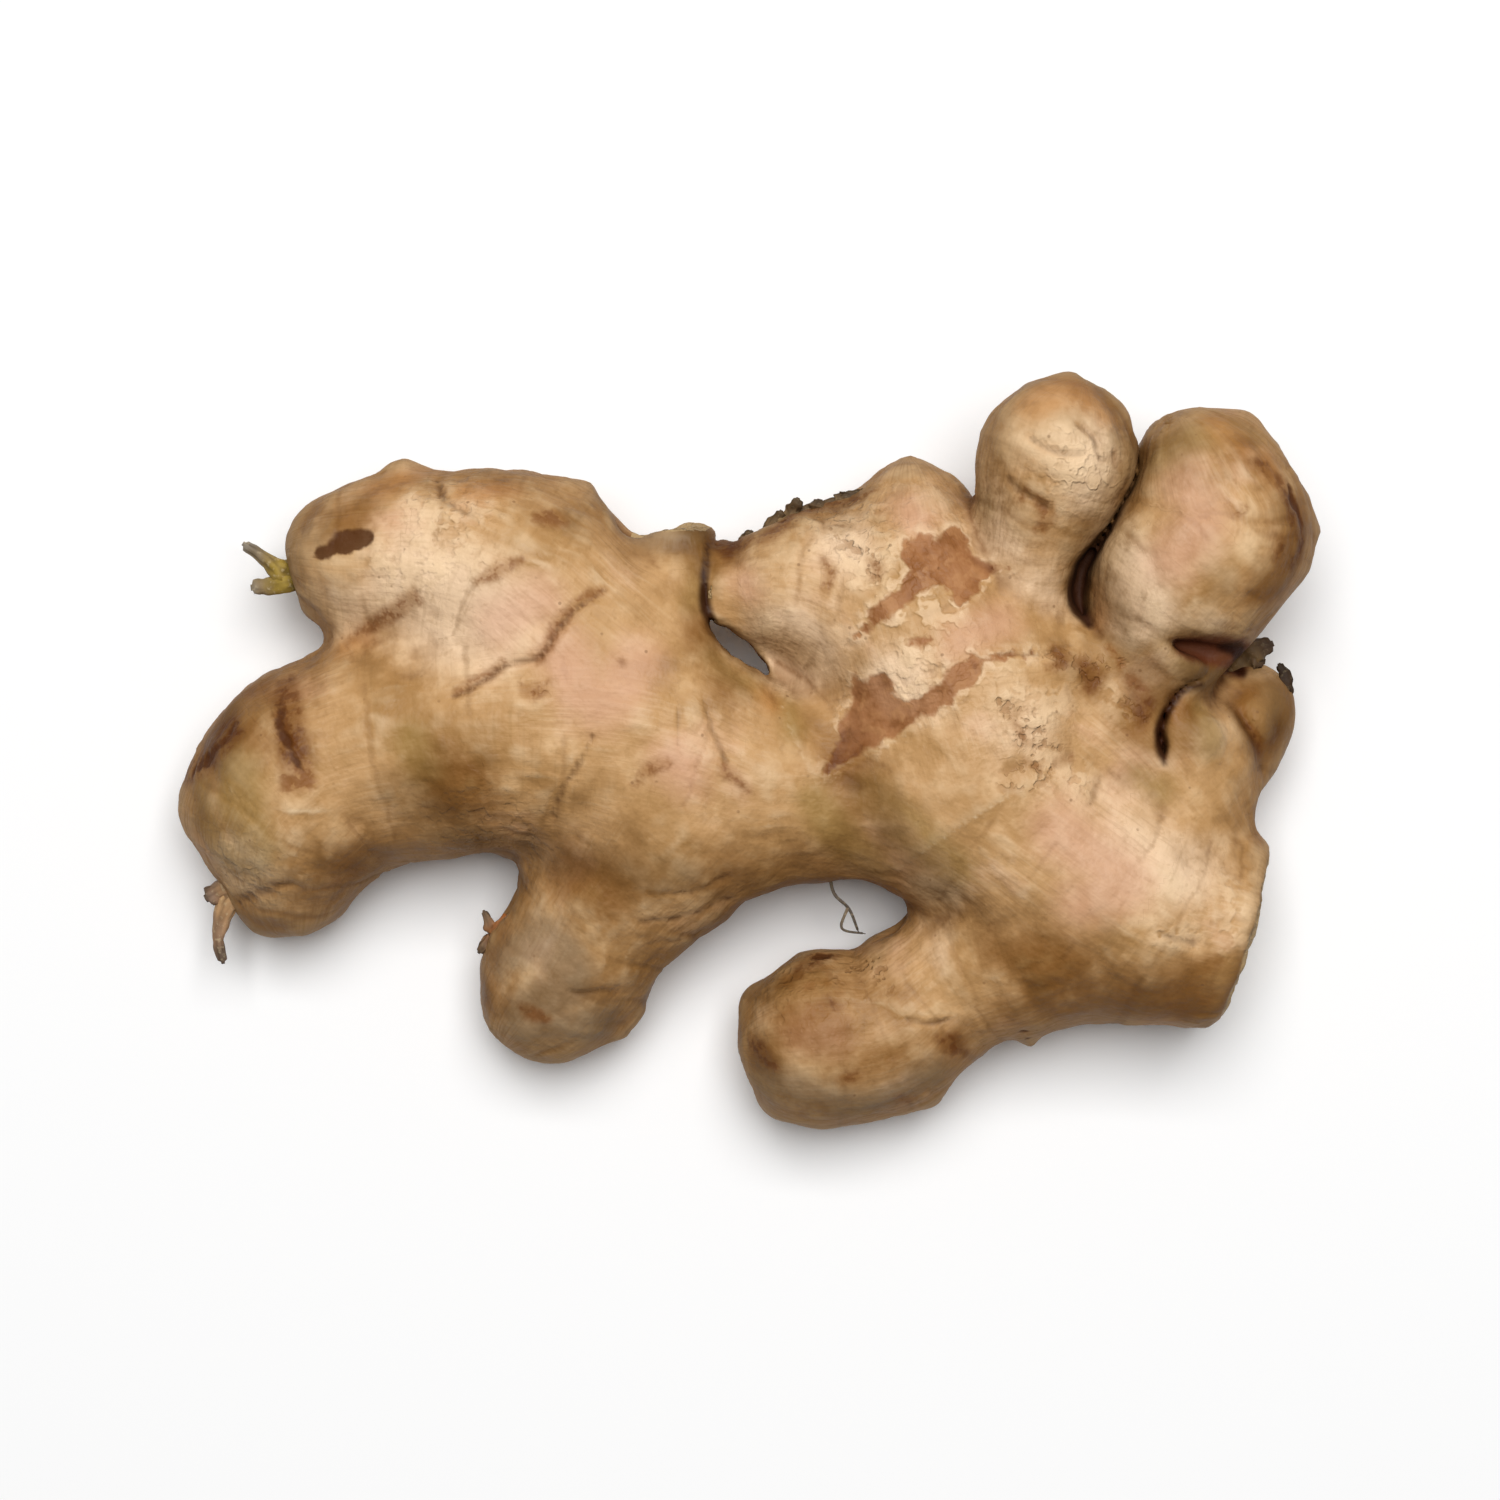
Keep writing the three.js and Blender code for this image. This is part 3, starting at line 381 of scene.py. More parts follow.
        ((42, 14.5, 1.5), (47, 12.5, 2.5), (52, 13, 1.8)), ((-31.5, 9.5, 1.2), (-28, 9.5, 1)),
        ((9.5, 32, 1.5), (14.5, 30.5, 2), (18.5, 25.5, 1.8)),
        ((13, -31, 1.5), (17.5, -29.5, 2.2), (20, -32, 1.5)), ((53, 8, 1.5), (55, 5.5, 1.5)),
        ((16, 33.5, 1), (20, 35.5, 1.2)),
        )},
    "creamFlakes": {"lines": (
        ((-47, 36.5, 1.2), (-44, 34, 2), (-41, 32, 2), (-45, 30, 1.5)),
        ((-51, 28, 2), (-47, 25.5, 2.2), (-43, 27.5, 1.5)), ((-41, 29.5, 1.2), (-37.5, 27.5, 1)),
        ((13.5, 30, 1.5), (17, 23.5, 1.8), (19, 28.5, 1.2)), ((22, 19, 1.5), (27, 20.5, 1.8), (28, 18.5, 1)),
        ((22, 14.5, 1), (24.5, 12, 1.4), (21.5, 10, 1.2)), ((36.5, 9.5, 1.5), (40, 6.5, 2), (43.5, 8, 1.6)),
        ((41, -0.5, 1.4), (46.5, -3, 1.8)), ((43, 44, 1.5), (46.5, 41, 2.2), (49, 38.5, 1.5), (43, 39, 1.2)),
        ((67.5, -17, 0.9), (68.5, -21.5, 1.2), (67, -27, 0.9)), ((57.5, -25, 0.8), (62.5, -25, 0.8)),
        ((50.5, 9.5, 1), (52, 6, 1.2)), ((12.5, 37, 1), (16, 34.5, 0.8)),
        )},
    "orangeTips": {"lines": (
        ((40, 49, 2.2), (45, 51.5, 2.5), (49.5, 48.5, 1.8)), ((65, 46.5, 1.5), (68.5, 44, 2)),
        ((-57, 15.5, 0.6), (-54, 17, 0.7)), ((-52.5, 38, 1.3), (-49, 39.5, 1.6)),
        ((-34, 38, 1.6), (-39, 37.5, 1.4)), ((2, 9, 0.6), (3.5, 8, 0.8)), ((59.5, 6, 0.4), (60, 8, 0.5)),
        ((48.5, 23.5, 1), (49.5, 20, 1.5)), ((-35, -24, 0.6), (-35.5, -28, 0.7)),
        ((71.5, 42, 1.2), (73, 39.5, 1)),
        )},
    # olive tint of the skin, partly laid as painted shade along edges and beside creases
    "oliveTintAndPaintedShade": {"lines": (
        ((-73.5, 6, 1.5), (-74, 2, 2), (-72, -2.5, 2.8), (-71.5, -7.5, 3.2), (-69.5, -13, 3)),
        ((57.5, 42, 2), (63, 45, 2), (69.5, 45.5, 1.8)),
        ((17, -4.5, 2.2), (22, -10, 2.8), (28.5, -15.5, 2.5)),
        ((-77.5, -4.5, 1.2), (-76.5, -9, 2), (-74, -13, 2.2), (-70, -15.5, 2.2)),
        ((-70.5, -1.5, 1.8), (-70, -7.5, 2.2), (-68.5, -12.5, 2.2)),
        ((-5, 14.5, 0.8), (-2.5, 12, 0.9), (1, 9.5, 0.8)), ((32, 37, 0.6), (33, 35, 0.4)),
        ((55, -2.5, 1.4), (58, -4.5, 1.4)), ((5.5, 8, 0.7), (6.5, 4, 0.7)),
        ((9.5, -6, 2), (13.5, -11.5, 2.5), (17.5, -15, 2.2)), ((-47, 2.5, 2), (-45, -1.5, 2)),
        ((-6.5, 28, 1), (-7.5, 22, 1)), ((63, 6.5, 1.2), (64.5, 2, 1.2)),
        ((60.5, 13, 0.8), (64, 12.5, 1.3), (68, 11.5, 1)),
        )},
    "greyBloom": {"lines": (
        ((-34.5, -28, 2.5), (-28.5, -26, 3.5), (-26, -32, 3.8), (-31.5, -38, 3), (-21, -38, 3)),
        ((3, -46, 2.5), (10.5, -48.5, 2.5), (17.5, -49.5, 2.5), (26, -45, 2.5)),
        ((-19.5, 37, 1.5), (-13, 31, 1.5), (-6.5, 32, 1.5)), ((7.5, 36.5, 1.2), (14.5, 37, 1)),
        ((75, 9.5, 1.2), (75, 5.5, 1.2)),
        )},
    "pinkFlesh": {"lines": (
        ((-26, 15, 3), (-20.5, 8, 3.5), (-15, 13.5, 3)), ((58.5, 27.5, 3), (62.5, 33, 3), (60, 38.5, 2.5)),
        ((22, 35.5, 1.8), (24, 33, 2)), ((43.5, -10, 3.5), (52, -17, 3.5), (46.5, -20, 3)),
        ((29.5, 16.5, 2.5), (35, 19, 2.5)), ((-10.5, -0.5, 2.5), (-8, -3, 2)),
        ((7.5, -38.5, 2), (11.5, -39, 2)), ((-34.5, 19, 3), (-29, 22, 2.5)),
        ((-0.5, 25, 1.2), (0.5, 23.5, 1)),
        )},
}


# distance to one finger, negative inside, on the points x, y, z
def fingerDistance(finger, x, y, z):
    chain = throughRows(finger["sections"], 6)
    nearest = np.full(np.shape(x), farAway, np.float32)
    for a, b in zip(chain[:-1], chain[1:]):
        ax, ay, az = b[:3] - a[:3]
        px, py, pz = x - a[0], y - a[1], z - a[2]
        t = np.clip((px * ax + py * ay + pz * az) / max(ax * ax + ay * ay + az * az, 1e-6), 0, 1)
        across = (px - t * ax) ** 2 + (py - t * ay) ** 2 + ((pz - t * az) / finger["squash"]) ** 2
        np.minimum(nearest, np.sqrt(across) - (a[3] + t * (b[3] - a[3])), out=nearest)
    if "broken" in finger:
        (bx, by), (nx, ny), rounding = finger["broken"]
        past = (x - bx) * nx + (y - by) * ny
        t = np.clip(0.5 + 0.5 * (past - nearest) / rounding, 0, 1)
        nearest = nearest + (past - nearest) * t + rounding * t * (1 - t)
    return nearest


# folds cut into the grid of distances along their paths, straight down to their floors
def cutClefts(spec, axes, whole):
    lipHeight = 20        # a fold that widens downwards does so from here
    floorSlope = 0.7
    for floor, lip, flare, rows in spec["clefts"]:
        path = throughRows(rows, 5)
        reach = path[:, 2].max() + 4
        low, high = path[:, :2].min(axis=0) - reach, path[:, :2].max(axis=0) + reach
        i, j = (slice(*np.searchsorted(axes[n], (low[n], high[n]))) for n in (0, 1))
        x, y, z = np.meshgrid(axes[0][i], axes[1][j], axes[2], indexing="ij")
        gap = np.full(x.shape, farAway, np.float32)
        for a, b in zip(path[:-1], path[1:]):
            ax, ay = b[:2] - a[:2]
            t = np.clip(((x - a[0]) * ax + (y - a[1]) * ay) / (ax * ax + ay * ay), 0, 1)
            away = np.hypot(x - a[0] - t * ax, y - a[1] - t * ay)
            gap = np.minimum(gap, away - (a[2] + t * (b[2] - a[2])))
        rise = lipHeight - z if flare > 0 else z - floor
        cut = -np.maximum(gap - abs(flare) * np.maximum(rise, 0), floorSlope * (floor - z))
        t = np.clip(0.5 + 0.5 * (cut - whole[i, j]) / lip, 0, 1)
        whole[i, j] += (cut - whole[i, j]) * t + lip * t * (1 - t)
    return whole


# all fingers joined with fillets on a grid, then turned into a net of four-sided faces
def growHand(spec):
    step = spec["meshSpacing"]
    emptySpace = 30.0     # distance from the skin given to the grid before anything is in it
    margin = 3            # room left round a finger's fillets
    low = np.array(spec["gridBox"][0])
    axes = [np.arange(low[i], high, step, dtype=np.float32) for i, high in enumerate(spec["gridBox"][1])]
    whole = np.full([len(axis) for axis in axes], emptySpace, np.float32)
    for finger in spec["fingers"].values():
        rows = np.array(finger["sections"], float)
        reach = rows[:, 3:4] + finger["blend"] + margin
        start = [np.searchsorted(axes[i], (rows[:, i:i + 1] - reach).min()) for i in range(3)]
        stop = [np.searchsorted(axes[i], (rows[:, i:i + 1] + reach).max()) for i in range(3)]
        block = tuple(slice(a, b) for a, b in zip(start, stop))
        x, y, z = np.meshgrid(*[axes[i][block[i]] for i in range(3)], indexing="ij")
        own = fingerDistance(finger, x, y, z)
        t = np.clip(0.5 + 0.5 * (whole[block] - own) / finger["blend"], 0, 1)
        whole[block] += (own - whole[block]) * t - finger["blend"] * t * (1 - t)
    whole = cutClefts(spec, axes, whole)
    band = 4.0            # distances further from the skin than this are all alike
    grid = openvdb.FloatGrid(band)
    grid.copyFromArray(np.clip(whole, -band, band))
    points, quads = grid.convertToQuads(isovalue=0.0)
    points = points.astype(float) * step + low
    quads = quads.astype(np.int64)
    a, b, c, d = (points[quads[:, i]] for i in range(4))
    if np.sum(a * np.cross(b, c)) + np.sum(a * np.cross(c, d)) < 0:
        quads = quads[:, ::-1]
    return points, quads


def pointNormals(points, quads):
    a, b, c, d = (points[quads[:, i]] for i in range(4))
    face = np.cross(c - a, d - b)
    total = np.zeros_like(points)
    for i in range(4):
        for axis in range(3):
            total[:, axis] += np.bincount(quads[:, i], face[:, axis], len(points))
    return total / np.maximum(np.linalg.norm(total, axis=1, keepdims=True), 1e-9)


# every point takes the average of its neighbours, as many times as asked
def spreadOut(values, quads, times):
    pairs = np.concatenate([quads[:, [i, (i + 1) % 4]] for i in range(4)])
    count = np.maximum(np.bincount(pairs[:, 0], minlength=len(values)), 1)
    flat = values.reshape(len(values), -1)
    for _ in range(times):
        flat = np.stack([np.bincount(pairs[:, 0], flat[pairs[:, 1], i], len(values)) / count
                         for i in range(flat.shape[1])], axis=1)
    return flat.reshape(values.shape)


# how far along each finger a point is and which way it faces round it, in millimetres, and how much
# that finger owns the point; fingers of one grain group share a set
def growthDirections(spec, points):
    pastEnds = 12         # the count of millimetres goes on this far beyond both ends of a finger
    names = list(spec["fingers"])
    found = []
    for name in names:
        finger = spec["fingers"][name]
        chain = throughRows(finger["sections"], 6)
        best = np.full(len(points), farAway)
        along = np.zeros(len(points))
        side = np.zeros((len(points), 3))
        total = 0.0
        for a, b in zip(chain[:-1], chain[1:]):
            axis = b[:3] - a[:3]
            length = np.linalg.norm(axis)
            free = (points - a[:3]) @ axis / length ** 2
            t = np.clip(free, 0, 1)
            offset = points - a[:3] - t[:, None] * axis
            distance = np.linalg.norm(offset, axis=1) - (a[3] + t * (b[3] - a[3]))
            closer = distance < best
            best = np.where(closer, distance, best)
            reached = np.clip(free, -pastEnds / length, 1 + pastEnds / length) * length
            along = np.where(closer, total + reached, along)
            forward = axis / length
            across = np.cross((0, 0, 1), forward)
            across /= max(np.linalg.norm(across), 1e-6)
            turned = np.stack([offset @ across, offset @ np.cross(forward, across)], axis=1)
            turned /= np.maximum(np.linalg.norm(turned, axis=1, keepdims=True), 1e-6)
            side[closer, 1:] = turned[closer] * b[3]
            total += length
        side[:, 0] = along
        found.append((best, side))
    distances = np.stack([best for best, _ in found])
    order = np.sort(distances, axis=0)
    share = np.exp(-(distances - order[0]) / spec["fingerFade"])
    share /= share.sum(axis=0)
    growth = np.zeros((4, len(points), 3))
    weight = np.zeros((4, len(points)))
    nearestInGroup = np.full((4, len(points)), farAway)
    ringGap = np.full(len(points), spec["noRing"])
    for i, name in enumerate(names):
        finger = spec["fingers"][name]
        group = finger["grain"]
        mine = distances[i] < nearestInGroup[group]
        growth[group][mine] = found[i][1][mine]
        nearestInGroup[group] = np.minimum(nearestInGroup[group], distances[i])
        weight[group] += share[i]
        place = found[i][1]
        # a ring wanders a little on its way round the finger
        wave = sum(rise * softNoise(place * (0, often, often), seed + i)
                   for rise, often, seed in spec["ringWander"])
        for ring in finger["rings"]:
            gap = place[:, 0] - ring - wave
            use = (share[i] > 0.55) & (np.abs(gap) < np.abs(ringGap))
            ringGap = np.where(use, gap, ringGap)
    junction = np.exp(-(order[1] - order[0]) / spec["junctionFade"]) * smooth(-3.0, 0.5, order[0])
    return growth, weight, ringGap, junction


# Height of the skin at places seen from above, from "top", its height in each square millimetre. Just
# off the edge of the outline the highest square beside a place counts.
def skinHeight(places, top, low):
    i, j = np.clip(np.round(places - low).astype(int), 1, np.array(top.shape) - 2).T
    around = np.max([top[i + a, j + b] for a in (-1, 0, 1) for b in (-1, 0, 1)], axis=0)
    height = np.where(top[i, j] > 0, top[i, j], around)
    fingerMiddle = 14     # well outside the outline
    return np.where(height > 0, height, fingerMiddle)


# A mark seen from above is laid on the top of the skin. The answer is how far inside the mark each
# point is, and which side of its path it is on.
def layMark(mark, points, normals, top, low, reach=4.0):
    inside = np.full(len(points), -reach)
    side = np.zeros(len(points))
    flat = points[:, :2]
    for outline in mark.get("areas", ()):
        corners = np.array(outline, float)
        near = np.all((flat > corners.min(axis=0) - reach) & (flat < corners.max(axis=0) + reach), axis=1)
        chosen = np.nonzero(near & (normals[:, 2] > 0))[0]
        spot = flat[chosen]
        edgeGap = np.full(len(chosen), farAway)
        within = np.zeros(len(chosen), bool)
        for a, b in zip(corners, np.roll(corners, -1, axis=0)):
            edge = b - a
            t = np.clip((spot - a) @ edge / (edge @ edge), 0, 1)
            edgeGap = np.minimum(edgeGap, np.linalg.norm(spot - a - t[:, None] * edge, axis=1))
            slant = a[0] + (spot[:, 1] - a[1]) * edge[0] / (edge[1] if abs(edge[1]) > 1e-9 else 1e-9)
            within ^= ((a[1] > spot[:, 1]) != (b[1] > spot[:, 1])) & (spot[:, 0] < slant)
        inside[chosen] = np.maximum(inside[chosen], np.where(within, edgeGap, -edgeGap))
    sink = np.array((1, 1, mark.get("sink", 1)))
    for rows in mark["lines"]:
        path = throughRows(rows, 8)
        laid = np.column_stack([path[:, :2], skinHeight(path[:, :2], top, low)])
        wide = (reach + path[:, 2].max()) / sink
        near = np.all((points > laid.min(axis=0) - wide) & (points < laid.max(axis=0) + wide), axis=1)
        chosen = np.nonzero(near & (normals[:, 2] > -0.35))[0]
        away = points[chosen, None, :] - laid[None, :, :]
        gap = np.linalg.norm(away * sink, axis=2) - path[None, :, 2]
        nearest = gap.argmin(axis=1)
        value = -gap[np.arange(len(chosen)), nearest]
        better = value > inside[chosen]
        heading = np.gradient(laid, axis=0)[nearest]
        offset = away[np.arange(len(chosen)), nearest]
        turn = np.sign(heading[:, 0] * offset[:, 1] - heading[:, 1] * offset[:, 0])
        side[chosen[better]] = turn[better]
        inside[chosen[better]] = value[better]
    return inside, side


def buildMesh(name, points, faces, attributes):
    mesh = bpy.data.meshes.new(name)
    mesh.from_pydata((points * mm).tolist(), [], faces)
    mesh.polygons.foreach_set("use_smooth", [True] * len(mesh.polygons))
    for label, values in attributes.items():
        kind, field = ("FLOAT", "value") if values.ndim == 1 else ("FLOAT_VECTOR", "vector")
        mesh.attributes.new(label, kind, "POINT").data.foreach_set(field, values.astype(np.float32).ravel())
    mesh.update()
    piece = bpy.data.objects.new(name, mesh)
    bpy.context.scene.collection.objects.link(piece)
    return piece


def makeRhizome(spec):
    points, quads = growHand(spec)
    points = spreadOut(points, quads, 1)
    print("rhizome grown,", len(quads) * 2, "triangles")
    normals = spreadOut(pointNormals(points, quads), quads, 2)
    growth, weight, ringGap, junction = growthDirections(spec, points)
    points = points + spec["centring"]
    tight = smooth(*spec["tightCrease"], np.sum((spreadOut(points, quads, 6) - points) * normals, axis=1))
    size = spec["noiseSizes"]

    # slow unevenness and the swellings
    (lumpSize, lumpHeight), (knobSize, knobHeight) = spec["lumps"], spec["knobbles"]
    push = lumpHeight * layeredNoise(points / lumpSize, 3, 2)
    push += knobHeight * layeredNoise(points / knobSize, 5, 2)
    for x, y, z, reach, height in spec["swells"]:
        push += height * np.exp(-np.sum((points - (x, y, z)) ** 2, axis=1) / reach ** 2)

    # folds along the fingers, deeper where two of them meet
    fold = np.zeros(len(points))
    streak = np.zeros(len(points))
    for group in range(4):
        sway = [softNoise(points / size["sway"], 70 + 3 * group + i) for i in range(3)]
        place = growth[group] + 1.2 * np.stack(sway, axis=1)
        fold += weight[group] * layeredNoise(place * spec["foldGrain"], 11 + group, 2)
        streak += weight[group] * softNoise(place * spec["streakGrain"], 21 + group)
    patchy = smooth(-0.25, 0.5, layeredNoise(points / size["wrinkled"], 15, 2))
    push += spec["wrinkles"] * (0.35 + patchy) * (fold + 0.45 * streak) * (1 + 0.5 * junction)

    # leaf-scar rings: a groove with a low lip on the side of the tip, fading in and out round the finger
    ringShow = 0.25 + 0.75 * smooth(-0.3, 0.35, layeredNoise(points / size["ringed"], 17, 2))
    lipPlace, lipWidth = spec["ringLip"]
    lip = 0.7 * np.exp(-((ringGap - lipPlace) / lipWidth) ** 2)
    push += spec["ringDepth"] * ringShow * (lip - np.exp(-(ringGap / spec["grooveWidth"]) ** 2))

    crinkle = np.zeros(len(points))
    for x, y, z, reach, height in spec["crinkles"]:
        crinkle += height * np.exp(-np.sum((points - (x, y, z)) ** 2, axis=1) / reach ** 2)
    # sharp folds between flat scraps
    push += crinkle * (0.9 - 2.2 * np.abs(softNoise(points / size["scraps"], 23)))
    push += 0.5 * crinkle * softNoise(points / size["crumbs"], 25)

    # snapped-off ends: dried flesh sinks in the middle and is torn into fibres
    broken = np.full(len(points), -4.0)          # millimetres inside the broken face
    brokenAcross = np.full(len(points), 9.0)     # distance from its middle, over its radius
    for finger in spec["fingers"].values():
        if "broken" in finger:
            (bx, by), facing, _ = finger["broken"]
            away = points[:, :2] - (bx + spec["centring"][0], by + spec["centring"][1])
            z, radius = finger["sections"][-1][2:]
            across = np.hypot(away[:, 0] * facing[1] - away[:, 1] * facing[0], points[:, 2] - z) / radius
            onFace = (normals[:, :2] @ facing > 0.5) & (np.linalg.norm(away, axis=1) < radius * 1.3)
            broken = np.where(onFace, np.maximum(broken, away @ facing + 0.9), broken)
            brokenAcross = np.where(onFace, across, brokenAcross)
    torn = smooth(0.0, 0.8, broken)
    dished = np.maximum(1 - brokenAcross ** 2, 0)
    fibrous = spec["tornFlesh"] * layeredNoise(points / size["tornFlesh"], 37, 2)
    push += torn * (fibrous - spec["fleshHollow"] * dished)

    low = points[:, :2].min(axis=0)
    top = np.full(np.ceil(points[:, :2].max(axis=0) - low).astype(int) + 2, -1.0)
    np.maximum.at(top, tuple(np.round(points[:, :2] - low).astype(int).T), points[:, 2])
    found = {kind: layMark(mark, points, normals, top, low) for kind, mark in marks.items()}
    ragged = 0.45 * layeredNoise(points / size["ragged"], 27, 3)
    dead = found["deadSkin"][0] + ragged
    rubbed = found["rubbed"][0] + 1.5 * ragged
    crack = found["cracks"][0] + 0.35 * ragged
    sheath, sheathSide = found["sheathEdges"]
    pits = smooth(0, 0.6, dead) * softNoise(points / size["pits"], 29)
    push -= spec["deadSink"] * smooth(-0.2, 0.5, dead) - spec["deadPits"] * pits
    push -= spec["rubbedSink"] * smooth(-0.1, 0.4, rubbed)
    lifted = smooth(-0.1, 0.4, softNoise(points / size["lifted"], 33))
    push += spec["rubbedEdge"] * np.exp(-((rubbed + 0.5) / 0.4) ** 2) * lifted
    push -= spec["crackSink"] * smooth(-1.1, 0.5, crack)
    step = np.where(sheathSide > 0, smooth(-3.5, 0.3, sheath), smooth(-0.5, 0.3, sheath))
    push += spec["sheathStep"] * step

    # relief dies out inside narrow creases, then the underside settles flat where it touches the table
    points = points + normals * (push * (1 - tight))[:, None]
    settled = spec["settled"]
    raised = np.maximum(points[:, 2], 0.0)
    pressed = 0.55 * raised + 0.45 * settled * smooth(0, settled, raised)
    points[:, 2] = np.where(points[:, 2] < settled, pressed, points[:, 2])

    # hollows and ridges, read from the finished shape
    hollow = np.sum((spreadOut(points, quads, 14) - points) * pointNormals(points, quads), axis=1)
    # skin tone patches: partly the skin's own tone, partly painted highlight and painted shade
    tone = np.zeros(len(points))
    for patches in spec["skinToneWithPaintedLight"].values():
        rows = np.array(patches)
        centres = np.column_stack([rows[:, :2], skinHeight(rows[:, :2], top, low)])
        for centre, (reach, amount) in zip(centres, rows[:, 2:]):
            tone += amount * np.exp(-np.sum((points - centre) ** 2, axis=1) / reach ** 2)
    attributes = {
        # facing drives the painted shade on the sides
        "skinToneWithPaintedLight": tone, "facing": normals @ spec["upward"], "ringGap": ringGap, "ringShow": ringShow,
        "junction": junction, "hollow": hollow, "fold": fold, "broken": broken,
        "brokenAcross": brokenAcross, "flaky": crinkle * 3,    # flaky runs from 0 to about 1
    }
    attributes |= {kind: value for kind, (value, _) in found.items()}
    attributes |= {"deadSkin": dead, "rubbed": rubbed, "cracks": crack}
    for group in range(4):
        attributes[f"growth{group}"] = growth[group]
        attributes[f"share{group}"] = weight[group]
    return buildMesh("gingerRhizome", points, quads.tolist(), attributes)


# adds a node, sets its settings, fills or links its inputs and gives back one of its outputs
def wire(tree, kind, inputs=(), output=0, stops=(), **settings):
    node = tree.nodes.new("ShaderNode" + kind)
    for name, value in settings.items():
        setattr(node, name, value)
    for key, value in inputs.items() if isinstance(inputs, dict) else enumerate(inputs):
        if isinstance(value, bpy.types.NodeSocket):
            tree.links.new(value, node.inputs[key])
        else:
            node.inputs[key].default_value = value
    for i, (place, colour) in enumerate(stops):
        stop = node.color_ramp.elements[i] if i < 2 else node.color_ramp.elements.new(place)
        stop.position, stop.color = place, toLinear(colour)
    return node.outputs[output]
